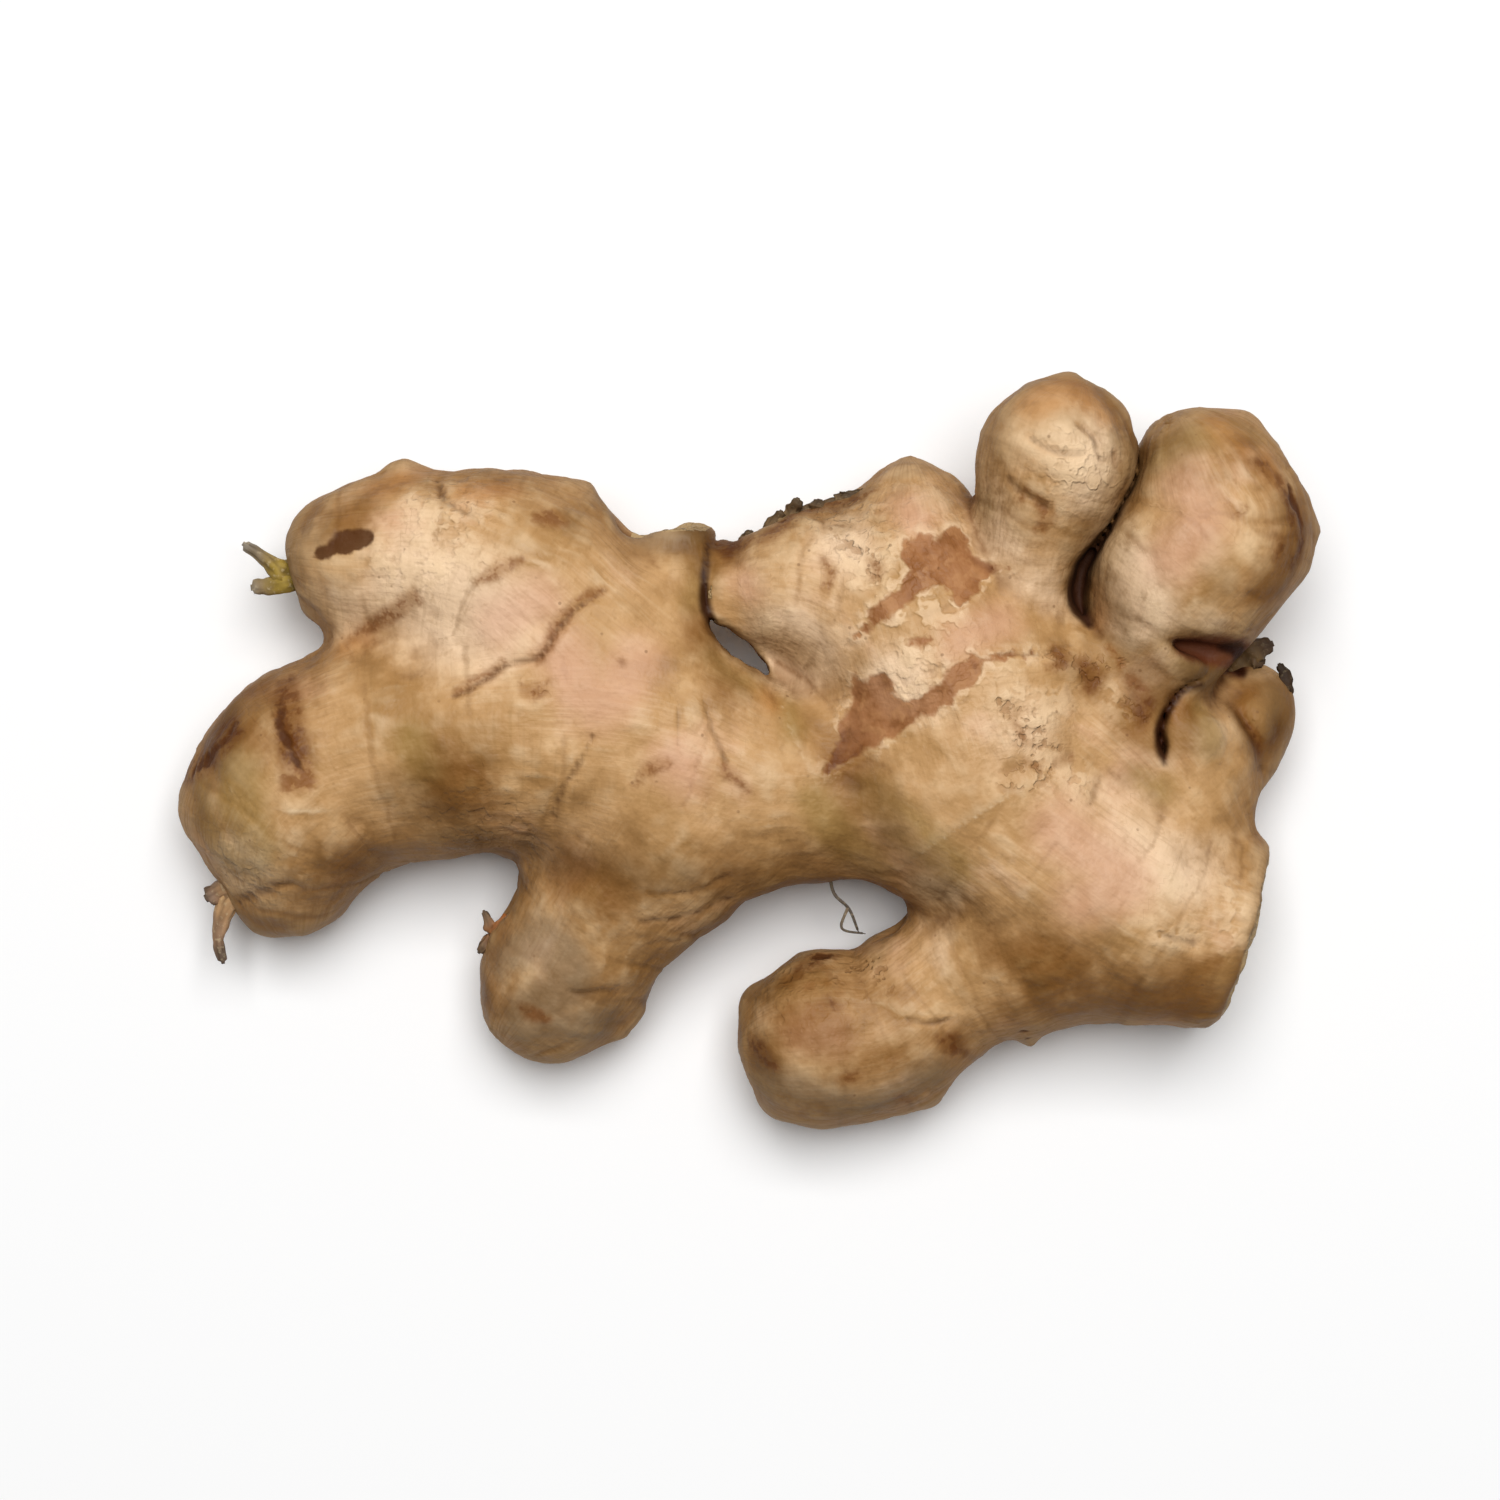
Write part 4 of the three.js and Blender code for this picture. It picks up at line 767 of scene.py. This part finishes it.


# ginger periderm, grown and dried on the surface: thin corky skin over pale flesh, so it is matt to satin,
# peach where it is thin, olive and brown where it is thick, with fibres running along each finger. Its colour
# also holds painted highlight on upper faces and painted shade on the sides, in hollows, in creases and where
# fingers meet
skin = {
    "tones": ((0.36, "#ab814f"), (0.46, "#bd9260"), (0.56, "#c99e6d"), (0.68, "#d6aa84")),
    # which of the tones shows: slow clouds broken by blotches, added to a start
    "tonePick": {"cloud": 0.7, "blotch": 0.26, "fold": 0.04}, "toneStart": 0.02,
    # what frays the edges of the marks; the start brings it to about 0 on average
    "jags": {"fray": 0.4, "shred": 0.6}, "jagStart": -0.5,
    "speckSpacing": 2.778,    # mm from one speck to the next
    "roughness": (0.38, 0.56),
    "rougher": {"fibreGaps": 0.1, "deadSkin": 0.12, "paintedHollowShade": 0.15, "paintedSideShade": 0.12},
    "specular": 0.15,         # cork is duller than the 0.5 of a plain plastic
    # noises of the whole skin: size of a feature in mm, detail, roughness, shift
    "noises": {
        "fray": (0.8, 2, 0.6, 0), "shred": (2.4, 2, 0.6, 70), "blotch": (5.5, 3, 0.6, 90),
        "cloud": (17.0, 2, 0.5, 40), "dust": (1.5, 2, 0.65, 130),
    },
    # noises stretched by growth: mm along the finger, mm round it; real fibres are about 0.2 mm wide and
    # are drawn at 0.5 so that they show
    "grains": {"fibres": (7.0, 0.5), "growthLines": (0.9, 9.0)},
    # each place on the skin: what is added up, then the values it fades between, and what it is kept to
    "places": {
        # pale and dark skin from the tone table, which also carries painted highlight and painted shade
        "paleSkinAndPaintedHighlight": ({"skinToneWithPaintedLight": 1.0, "blotch": 0.9}, 0.45, 1.55),
        "darkSkinAndPaintedShade": ({"skinToneWithPaintedLight": 1.0, "blotch": 0.9}, 0.35, -0.85),
        "paleBlotch": ({"blotch": 1.0}, 0.52, 0.70),
        "dusty": ({"dust": 1.0}, 0.46, 0.32),
        "fibrousPatch": ({"cloud": 1.0}, 0.40, 0.62),
        "ringedPatch": ({"cloud": 1.0}, 0.60, 0.40),
        "fibreGaps": ({"fibres": 1.0}, 0.48, 0.34, "fibrousPatch"),
        "fibreTops": ({"fibres": 1.0}, 0.54, 0.68, "fibrousPatch"),
        "growthRings": ({"growthLines": 1.0}, 0.46, 0.32, "ringedPatch"),
        "scarShown": ({"ringShow": 1.0}, 0.35, 0.95),
        "scarLow": ({"ringGap": 1.0, "fray": 0.9}, -0.25, 0.4, "scarShown"),
        "ringScar": ({"ringGap": 1.0, "fray": 0.9}, 1.15, 0.5, "scarLow"),
        # painted shade: hollows are darkened, with a little dust noise, and more where two fingers meet
        "paintedHollowShade": ({"hollow": 1.0, "dust": 0.3}, 0.16, 0.7),
        "paintedJointShade": ({"junction": 1.0}, 0.3, 1.0, "paintedHollowShade"),
        "ridge": ({"hollow": -1.0}, 0.05, 0.32),
        # painted shade: sides facing away from the key light are coloured darker, with darker fibres, rings
        # and spots drawn on them
        "paintedSideShade": ({"facing": 1.0, "blotch": 0.25}, 1.13, 0.6),
        "paintedSideShadeFibres": ({"fibres": 1.0}, 0.50, 0.36, "paintedSideShade"),
        "paintedSideShadeRings": ({"growthLines": 1.0}, 0.48, 0.34, "paintedSideShade"),
        "paintedSideShadeSpots": ({"blotch": 1.0}, 0.44, 0.36, "paintedSideShade"),
        "speckPatch": ({"blotch": 1.0}, 0.46, 0.6),
        "speck": ({"cells": 1.0}, 0.12, 0.05, "speckPatch"),
        "creaseRise": ({"shred": 1.0}, 0.40, 0.50, "flaky"),
        "crease": ({"shred": 1.0}, 0.60, 0.50, "creaseRise"),
    },
    # each mark: the values it fades between (mm inside its outline) and how much noise frays its edge
    "masks": {
        "creamFlakes": (-2.0, 1.0, 2.6), "pinkFlesh": (-3.6, 2.5, 2.2), "orangeTips": (-2.6, 1.4, 1.8),
        "oliveTintAndPaintedShade": (-2.8, 1.4, 1.8), "greyBloom": (-2.8, 1.8, 2.2), "smears": (-2.6, 1.4, 2.4),
        "brownSpots": (-0.8, 0.8, 1.6), "pitted": (-0.8, 1.6, 2.0), "rubbed": (-0.6, 0.3, 1.8),
        "deadSkin": (-0.35, 0.25, 0.7), "purpleScar": (-1.0, 0.6, 1.1), "creaseShade": (-0.9, 0.1, 0.2),
        "cracks": (-0.5, 0.4, 0.7),
        "broken": (-0.1, 0.5, 0.4), "sheathEdges": (-0.25, 0.3, 0.4),
    },
    # marks inside marks, made like the places once the masks are there
    "details": {
        "flakes": ({"shred": 1.0}, 0.44, 0.56, "creamFlakes"),
        "pits": ({"shred": 0.6, "dust": 0.5}, 0.53, 0.46, "pitted"),
        "brownBroken": ({"dust": 0.6, "shred": 0.6}, 0.66, 0.54, "brownSpots"),
        "rubbedDark": ({"blotch": 1.0}, 0.56, 0.42, "rubbed"),
        "rubbedPale": ({"shred": 1.0}, 0.50, 0.66, "rubbed"),
        "outerFlesh": ({"brokenAcross": 1.0, "shred": 0.3}, 0.86, 0.96, "broken"),
        "fleshRing": ({"brokenAcross": 1.0, "shred": 0.3}, 1.08, 0.98, "outerFlesh"),
        "strandEnds": ({"cells": 1.0, "shred": 0.9}, 0.72, 0.5, "broken"),
        "fleshDust": ({"dust": 0.7, "blotch": 0.5}, 0.66, 0.5, "broken"),
        "outside": ({"rubbed": -1.0}, -0.9, 0.0),
        "rimPatch": ({"shred": 1.0}, 0.47, 0.58, "outside"),
        "rim": ({"rubbedGap": 1.0, "fray": 1.6}, -1.4, 0.9, "rimPatch"),
    },
    # laid on in this order: place, colour, how much of it, and how it is mixed where that is not MIX
    "layers": (
        # the first layer is pale skin together with painted highlight
        ("paleSkinAndPaintedHighlight", "#fbdcba", 0.74), ("paleBlotch", "#e9c899", 0.2), ("dusty", "#98703f", 0.2),
        ("fibreGaps", "#936b40", 0.16), ("fibreTops", "#edd2ac", 0.13), ("growthRings", "#94703f", 0.16),
        ("ringScar", "#835d35", 0.26), ("ridge", "#f2d7b0", 0.3), ("pinkFlesh", "#d3a084", 0.5),
        ("oliveTintAndPaintedShade", "#8e7233", 0.5), ("orangeTips", "#c98a4a", 0.5), ("greyBloom", "#84715a", 0.6),
        ("smears", "#7d5d36", 0.5), ("flakes", "#f0cfa6", 0.5), ("brownSpots", "#96632f", 0.55),
        ("brownBroken", "#7a4416", 0.6), ("rubbed", "#9f683f", 0.86), ("rubbedDark", "#7d4a20", 0.5),
        ("rubbedPale", "#bd8a5c", 0.5), ("pits", "#9a6c42", 0.5), ("rim", "#efcfa9", 0.6),
        # the multiplied layer here is darker skin together with painted shade
        ("sheathEdges", "#efd5ae", 0.45), ("darkSkinAndPaintedShade", "#a08028", 0.78, "MULTIPLY"),
        # painted shade in hollows and where fingers meet
        ("paintedHollowShade", "#8f6d38", 0.55, "MULTIPLY"), ("paintedJointShade", "#a58243", 0.6, "MULTIPLY"),
        # painted shade on the sides away from the key light, and the darker fibres, rings and spots drawn in
        # it
        ("paintedSideShade", "#967a20", 0.62, "MULTIPLY"), ("paintedSideShadeFibres", "#7e5c32", 0.2),
        ("paintedSideShadeRings", "#76552e", 0.14), ("paintedSideShadeSpots", "#78552f", 0.35), ("speck", "#6f4a2a", 0.5),
        ("deadSkin", "#4f2a0e", 0.9), ("purpleScar", "#5e2b18", 0.85), ("creaseShade", "#2a0c02", 0.92),
        ("cracks", "#55371e", 0.6), ("broken", "#b79a6e", 0.85), ("fleshRing", "#76592f", 0.5),
        ("fleshDust", "#94774c", 0.4), ("strandEnds", "#7d6138", 0.25),
    ),
    # relief in millimetres
    "relief": {
        "fibres": 0.05, "growthLines": 0.04, "fray": 0.08, "shred": 0.30, "crease": 0.14, "rubbed": -0.10,
        "deadSkin": -0.08, "cracks": -0.14, "pits": -0.14, "rim": 0.08, "flakes": 0.08, "strandEnds": 0.25,
        "fleshDust": -0.3,
    },
}


def gingerSkin(look):
    material = bpy.data.materials.new("gingerPeridermDried")
    material.use_nodes = True
    tree = material.node_tree
    shader = tree.nodes["Principled BSDF"]
    place = wire(tree, "TexCoord", output="Object")
    inMm = wire(tree, "VectorMath", {0: place, 3: 1000.0}, operation="SCALE")
    at = {name: wire(tree, "Attribute", output="Fac", attribute_name=name) for name in (
        "ringGap", "ringShow", "junction", "hollow", "fold", "flaky", "facing", "skinToneWithPaintedLight", "brokenAcross")}
    at["cells"] = wire(tree, "TexVoronoi", {"Vector": inMm, "Scale": 1 / look["speckSpacing"]})
    for name, (size, detail, rough, shift) in look["noises"].items():
        moved = wire(tree, "VectorMath", (inMm, (shift, shift, shift)), operation="ADD")
        settings = {"Vector": moved, "Scale": 1 / size, "Detail": detail, "Roughness": rough}
        at[name] = wire(tree, "TexNoise", settings)

    # grain follows each group of fingers in its own direction, and fades over where they join
    for name, (along, around) in look["grains"].items():
        at[name] = 0.0
        for group in range(4):
            share = wire(tree, "Attribute", output="Fac", attribute_name=f"share{group}")
            growth = wire(tree, "Attribute", output="Vector", attribute_name=f"growth{group}")
            scales = (1 / along, 1 / around, 1 / around)
            spot = wire(tree, "VectorMath", (growth, scales), operation="MULTIPLY")
            noise = wire(tree, "TexNoise", {"Vector": spot, "Scale": 1.0, "Detail": 1.0})
            at[name] = wire(tree, "Math", (noise, share, at[name]), operation="MULTIPLY_ADD")

    jagged = look["jagStart"]
    for name, amount in look["jags"].items():
        jagged = wire(tree, "Math", (at[name], amount, jagged), operation="MULTIPLY_ADD")
    for name, (low, high, jag) in look["masks"].items():
        at[name + "Gap"] = wire(tree, "Attribute", output="Fac", attribute_name=name)
        edge = wire(tree, "Math", (jagged, jag, at[name + "Gap"]), operation="MULTIPLY_ADD")
        at[name] = wire(tree, "MapRange", (edge, low, high), interpolation_type="SMOOTHSTEP")
    for name, (parts, low, high, *keptTo) in (look["places"] | look["details"]).items():
        total = 0.0
        for part, weight in parts.items():
            total = wire(tree, "Math", (at[part], weight, total), operation="MULTIPLY_ADD")
        at[name] = wire(tree, "MapRange", (total, low, high), interpolation_type="SMOOTHSTEP")
        for limit in keptTo:
            at[name] = wire(tree, "Math", (at[name], at[limit]), operation="MULTIPLY")

    # the tone of clean skin, then every layer over it
    tone = look["toneStart"]
    for name, amount in look["tonePick"].items():
        tone = wire(tree, "Math", (at[name], amount, tone), operation="MULTIPLY_ADD")
    colour = wire(tree, "ValToRGB", (tone,), stops=look["tones"])
    for name, tint, amount, *mixing in look["layers"]:
        part = wire(tree, "Math", (at[name], amount), operation="MULTIPLY")
        mixing = mixing[0] if mixing else "MIX"
        sides = {0: part, 6: colour, 7: toLinear(tint)}
        colour = wire(tree, "Mix", sides, 2, data_type="RGBA", blend_type=mixing)
    height = 0.0
    for name, amount in look["relief"].items():
        height = wire(tree, "Math", (at[name], amount, height), operation="MULTIPLY_ADD")
    bump = wire(tree, "Bump", {"Height": height, "Distance": mm, "Strength": 1.0})

    rough = wire(tree, "MapRange", (at["blotch"], *noiseSpread, *look["roughness"]))
    for name, amount in look["rougher"].items():
        rough = wire(tree, "Math", (at[name], amount, rough), operation="MULTIPLY_ADD")
    tree.links.new(colour, shader.inputs["Base Color"])
    tree.links.new(rough, shader.inputs["Roughness"])
    tree.links.new(bump, shader.inputs["Normal"])
    shader.inputs["Specular IOR Level"].default_value = look["specular"]
    return material


rhizomePiece = makeRhizome(rhizome)
rhizomePiece.data.materials.append(gingerSkin(skin))
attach(rhizomePiece, "root")
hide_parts("ginger_rhizome")
print("rhizome finished")


# Dried roots and torn scales, in millimetres. Each strand is a row of (x, y, z, radius) from the skin to
# its free end. "flat" is its thickness over its width, "fray" how ragged it is, and "shade" its colours
# from the skin to the end.
dryBits = {
    "driedRootUpperLeft": {
        "replaces": "dried_root_upper_left", "slot": "dried_root", "flat": 0.85, "fray": 0.28,
        "shade": ("#b59a45", "#9a8038", "#8a7552", "#8f8474"),
        "strands": (
            ((-62, 25.6, 14.5, 2.1), (-66.5, 25.4, 15, 1.8), (-69.3, 27.4, 15.5, 1.0),
             (-72.6, 29.6, 16, 0.7)),
            ((-64, 24.6, 14.5, 1.6), (-68.5, 23.6, 14.5, 1.4), (-71.6, 23.2, 14.8, 0.9)))},
    "driedRootLowerLeft": {
        "replaces": "dried_root_lower_left", "slot": "dried_root", "flat": 0.7, "fray": 0.3,
        "shade": ("#c9a271", "#b48c63", "#8f7158", "#5b4d42"),
        "strands": (
            ((-71, -18.3, 12, 1.9), (-75.4, -19.8, 12.5, 1.7), (-78.4, -21.4, 12.3, 1.3)),
            ((-72.5, -19.6, 12, 1.6), (-75.2, -22.4, 12.3, 1.4), (-76.6, -26.6, 12, 0.95),
             (-76.0, -30.8, 11, 0.6)))},
    "shredLowerFinger": {
        "replaces": "shred_lower_finger", "slot": "dry_scale", "flat": 0.4, "fray": 0.45,
        "shade": ("#a5622f", "#95623a", "#7a5f45", "#574636"),
        "strands": (
            ((-34.4, -24.0, 14, 1.0), (-35.8, -26.5, 14, 1.4), (-35.6, -29.6, 13.5, 0.8)),
            ((-35.2, -26.0, 14, 1.2), (-37.3, -27.2, 14, 1.0), (-39.1, -29.2, 13.5, 0.4)),
            ((-35.6, -27.0, 14, 1.1), (-37.2, -25.2, 14.2, 0.8), (-38.3, -23.0, 14.4, 0.3)))},
    "hairRoot": {
        "replaces": "hair_root", "slot": "dried_root", "flat": 1.0, "fray": 0.12,
        "shade": ("#86765f", "#6d6254", "#5f564b", "#554c43"),
        "strands": (
            ((11.2, -14, 15, 0.3), (11.8, -20, 15.5, 0.24), (14.2, -22.8, 15, 0.22),
             (15.6, -26.2, 14.2, 0.18)),
            ((14, -22.6, 15, 0.22), (13.2, -25.6, 14.5, 0.18), (16.6, -26.4, 14, 0.15)))},
    "scaleShoulder": {
        "replaces": "scale_shoulder", "slot": "dry_scale", "flat": 0.35, "fray": 0.5,
        "shade": ("#8a6f4a", "#6e5537", "#59452e", "#4a3a28"),
        "strands": (
            ((0, 28.3, 20.5, 0.6), (2.4, 30, 20.8, 0.8), (4.6, 32.2, 21, 0.8), (7.4, 33.8, 21, 0.8),
             (10.8, 34.6, 21, 0.7), (14.1, 35.8, 21, 0.7), (16.9, 36.8, 21, 0.5)),
            ((-1.6, 28.0, 20, 1.0), (-0.6, 29.8, 20.2, 0.9), (0.3, 31.2, 20.4, 0.5)),
            ((1.5, 28.4, 21, 1.2), (3.3, 31.6, 21.4, 1.3), (4.5, 34.0, 21.5, 0.6)),
            ((4.6, 31.4, 21, 1.1), (6.0, 34.0, 21.4, 1.1), (6.8, 35.8, 21.6, 0.5)),
            ((9.0, 32.4, 21, 1.2), (9.6, 34.3, 21.2, 1.2), (9.9, 35.6, 21.3, 0.7)),
            ((12.6, 33.8, 21, 1.1), (13.3, 35.6, 21.2, 1.1), (13.6, 36.6, 21.3, 0.6)),
            ((15.7, 34.8, 21, 0.9), (16.3, 36.2, 21.2, 0.9), (16.6, 37.0, 21.3, 0.5)))},
    "scaleRightFlap": {
        "replaces": "scale_right_flap", "slot": "dry_scale", "flat": 0.22, "fray": 0.35,
        "shade": ("#6a4e2c", "#6e5637", "#5a4531", "#433327"),
        "strands": (((69.5, 10.5, 15.5, 1.4), (71.5, 12.8, 15.8, 1.5), (73.8, 12.6, 15.8, 0.8)),
                    ((69.8, 12.2, 15.5, 1.3), (72.2, 14.2, 15.9, 1.6), (74.9, 15.3, 16, 0.9)))},
    "scaleRightCurl": {
        "replaces": "scale_right_curl", "slot": "dry_scale", "flat": 0.35, "fray": 0.35,
        "shade": ("#4f3820", "#3d2a19", "#302114", "#271b11"),
        "strands": (
            ((74.2, 6.2, 15, 1.3), (76.4, 8.0, 15.3, 1.2), (76.7, 10.4, 15.6, 0.9),
             (75.7, 12.4, 15.8, 0.5)),)},
}

# what all the dry pieces share
dryMaking = {
    "sides": 20, "steps": 14,            # faces round a strand, and rings between two of its given points
    "sway": 0.35, "swayTurns": 9,        # how far a strand bends off its path, over its radius, and how often
    "tornFrom": 0.96, "tornGirth": 0.45,    # the last of a strand is torn down to this part of its girth
    "mottling": (0.7143, 2.857),         # mm across its fine and its broad spots
    "shadeStops": (0.05, 0.4, 0.7, 0.98), "shadeWander": 0.7,
    # painted shade: the grooves between a strand's ridges are coloured darker
    "paintedGrooveShadeColour": "#3a2a1b", "paintedGrooveShadeFade": (0.1, -0.6), "paintedGrooveShadeAmount": 0.6,
    "paleColour": "#d8c39a", "paleFade": (0.56, 0.7), "paleAmount": {"dried_root": 0.35, "dry_scale": 0.12},
    "roughness": (0.55, 0.75), "specular": 0.2, "bumpHeight": 0.12,
    "tissue": {"dried_root": "rootDriedOnPlant_", "dry_scale": "sheathScaleDried_"},
}


# a root or scale that dried on the plant: shrunken lengthwise ridges, ragged torn end, quite matt, and
# painted shade coloured into the grooves between the ridges
def dryTissue(name, look, making):
    material = bpy.data.materials.new(name)
    material.use_nodes = True
    tree = material.node_tree
    shader = tree.nodes["Principled BSDF"]
    along = wire(tree, "Attribute", output="Fac", attribute_name="along")
    ridge = wire(tree, "Attribute", output="Fac", attribute_name="ridge")
    place = wire(tree, "TexCoord", output="Object")
    fine, broad = (
        wire(tree, "TexNoise", {"Vector": place, "Scale": 1 / (size * mm), "Detail": 3.0})
        for size in making["mottling"])
    wander = making["shadeWander"]
    centred = wire(tree, "Math", (along, 0.5 * wander), operation="SUBTRACT")
    shifted = wire(tree, "Math", (broad, wander, centred), operation="MULTIPLY_ADD")
    colour = wire(tree, "ValToRGB", (shifted,), stops=tuple(zip(making["shadeStops"], look["shade"])))
    # painted shade in the grooves
    paintedGrooveShade = wire(tree, "MapRange", (ridge, *making["paintedGrooveShadeFade"], 0.0, making["paintedGrooveShadeAmount"]))
    paintedGrooveShadeMix = {0: paintedGrooveShade, 6: colour, 7: toLinear(making["paintedGrooveShadeColour"])}
    colour = wire(tree, "Mix", paintedGrooveShadeMix, 2, data_type="RGBA")
    paleAmount = making["paleAmount"][look["slot"]]
    pale = wire(tree, "MapRange", (fine, *making["paleFade"], 0.0, paleAmount))
    dusted = {0: pale, 6: colour, 7: toLinear(making["paleColour"])}
    colour = wire(tree, "Mix", dusted, 2, data_type="RGBA")
    rough = wire(tree, "MapRange", (fine, *noiseSpread, *making["roughness"]))
    bump = wire(tree, "Bump", {"Height": fine, "Distance": making["bumpHeight"] * mm, "Strength": 1.0})
    tree.links.new(colour, shader.inputs["Base Color"])
    tree.links.new(rough, shader.inputs["Roughness"])
    tree.links.new(bump, shader.inputs["Normal"])
    shader.inputs["Specular IOR Level"].default_value = making["specular"]
    return material


# one strand: the rings of its skin, how far along it each ring is, and how far each point stands out
def dryStrand(rows, number, look, making, seed):
    rows = np.array(rows) + (*rhizome["centring"], 0)
    path = throughRows(rows, making["steps"])
    sides, rings = making["sides"], len(path)
    heading = np.gradient(path[:, :3], axis=0)
    heading /= np.linalg.norm(heading, axis=1, keepdims=True)
    across = np.cross((0.0, 0.0, 1.0), heading)
    across /= np.linalg.norm(across, axis=1, keepdims=True)
    upward = np.cross(heading, across)
    turn = np.arange(sides) * 2 * math.pi / sides
    t = np.linspace(0, 1, rings)
    circle = np.stack([np.cos(turn), np.sin(turn)], axis=1)
    spots = np.array([(c * 1.6 + seed, s * 1.6 + number * 9, u * rings * 0.09) for u in t for c, s in circle])
    lift = softNoise(spots * (1.4, 1.4, 1.0), seed).reshape(rings, sides)
    shrink = softNoise(spots * (0.3, 0.3, 2.2), seed + 5).reshape(rings, sides)
    radius = path[:, 3:4] * (1 + look["fray"] * (lift + 0.7 * shrink))
    radius = radius * np.where(t > making["tornFrom"], making["tornGirth"], 1.0)[:, None]
    sway = making["sway"] * path[:, 3] * np.sin(t * making["swayTurns"] + seed + number * 2)
    offset = circle[:, 1] * radius * look["flat"] + sway[:, None]
    skin = (path[:, None, :3] + across[:, None, :] * (circle[:, 0] * radius)[:, :, None]
            + upward[:, None, :] * offset[:, :, None])
    return skin, t, lift


def makeDryBit(name, look, making, seed):
    points, faces, along, ridge = [], [], [], []
    sides = making["sides"]
    for number, rows in enumerate(look["strands"]):
        rings, t, lift = dryStrand(rows, number, look, making, seed)
        start = len(points)
        points.extend(rings.reshape(-1, 3))
        along.extend(np.repeat(t, sides))
        ridge.extend(lift.ravel())
        last = start + (len(rings) - 1) * sides
        for low in range(start, last, sides):
            for i in range(sides):
                n = (i + 1) % sides
                faces.append((low + i, low + n, low + sides + n, low + sides + i))
        faces.append(tuple(start + i for i in reversed(range(sides))))
        faces.append(tuple(last + i for i in range(sides)))
    piece = buildMesh(name, np.array(points), faces, {"along": np.array(along), "ridge": np.array(ridge)})
    piece.data.materials.append(dryTissue(making["tissue"][look["slot"]] + name, look, making))
    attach(piece, "root")
    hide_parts(look["replaces"])


for seed, (name, look) in enumerate(dryBits.items()):
    makeDryBit(name, look, dryMaking, seed + 3)
print("dried roots and scales made")


# table, light and camera, in metres, watts and millimetres of lens
studio = {
    "floorColour": "#f8f8f8", "floorRoughness": 0.8, "floorHalf": 2, "floorDrop": 0.0001,
    "worldColour": "#ffffff", "worldStrength": 0.1,
    "keyPlace": (0.05, 0.5, 1.68), "keySize": 1.2, "keyPower": 35.6, "keyColour": "#ffffff",
    "cameraPlace": (0.0004, 0.0011, 0.595), "lens": 97.1, "sensor": 36, "clip": (0.01, 20),
}


def makeStudio(look):
    scene = bpy.context.scene
    mesh = bpy.data.meshes.new("paleTable")
    half = look["floorHalf"]
    corners = [(-half, -half, 0), (half, -half, 0), (half, half, 0), (-half, half, 0)]
    mesh.from_pydata(corners, [], [(0, 1, 2, 3)])
    floor = bpy.data.objects.new("paleTable", mesh)
    floor.location.z = -look["floorDrop"]    # just under the root, so that they don't flicker together
    scene.collection.objects.link(floor)
    material = bpy.data.materials.new("tableLacquerMatt")
    material.use_nodes = True
    tree = material.node_tree
    shader = tree.nodes["Principled BSDF"]
    shader.inputs["Base Color"].default_value = toLinear(look["floorColour"])
    shader.inputs["Roughness"].default_value = look["floorRoughness"]
    mesh.materials.append(material)

    world = bpy.data.worlds.new("softRoom")
    world.use_nodes = True
    background = world.node_tree.nodes["Background"]
    background.inputs["Color"].default_value = toLinear(look["worldColour"])
    background.inputs["Strength"].default_value = look["worldStrength"]
    scene.world = world

    lamp = bpy.data.lights.new("softKey", "AREA")
    lamp.size, lamp.energy = look["keySize"], look["keyPower"]
    lamp.color = toLinear(look["keyColour"])[:3]
    key = bpy.data.objects.new("softKey", lamp)
    key.location = look["keyPlace"]
    key.rotation_euler = (-Vector(look["keyPlace"])).to_track_quat("-Z", "Y").to_euler()
    scene.collection.objects.link(key)

    lens = bpy.data.cameras.new("topCamera")
    lens.sensor_fit, lens.sensor_width, lens.lens = "HORIZONTAL", look["sensor"], look["lens"]
    lens.clip_start, lens.clip_end = look["clip"]
    camera = bpy.data.objects.new("topCamera", lens)
    camera.location = look["cameraPlace"]
    scene.collection.objects.link(camera)
    scene.camera = camera
    scene.view_settings.view_transform = "Standard"


makeStudio(studio)
print("studio set")
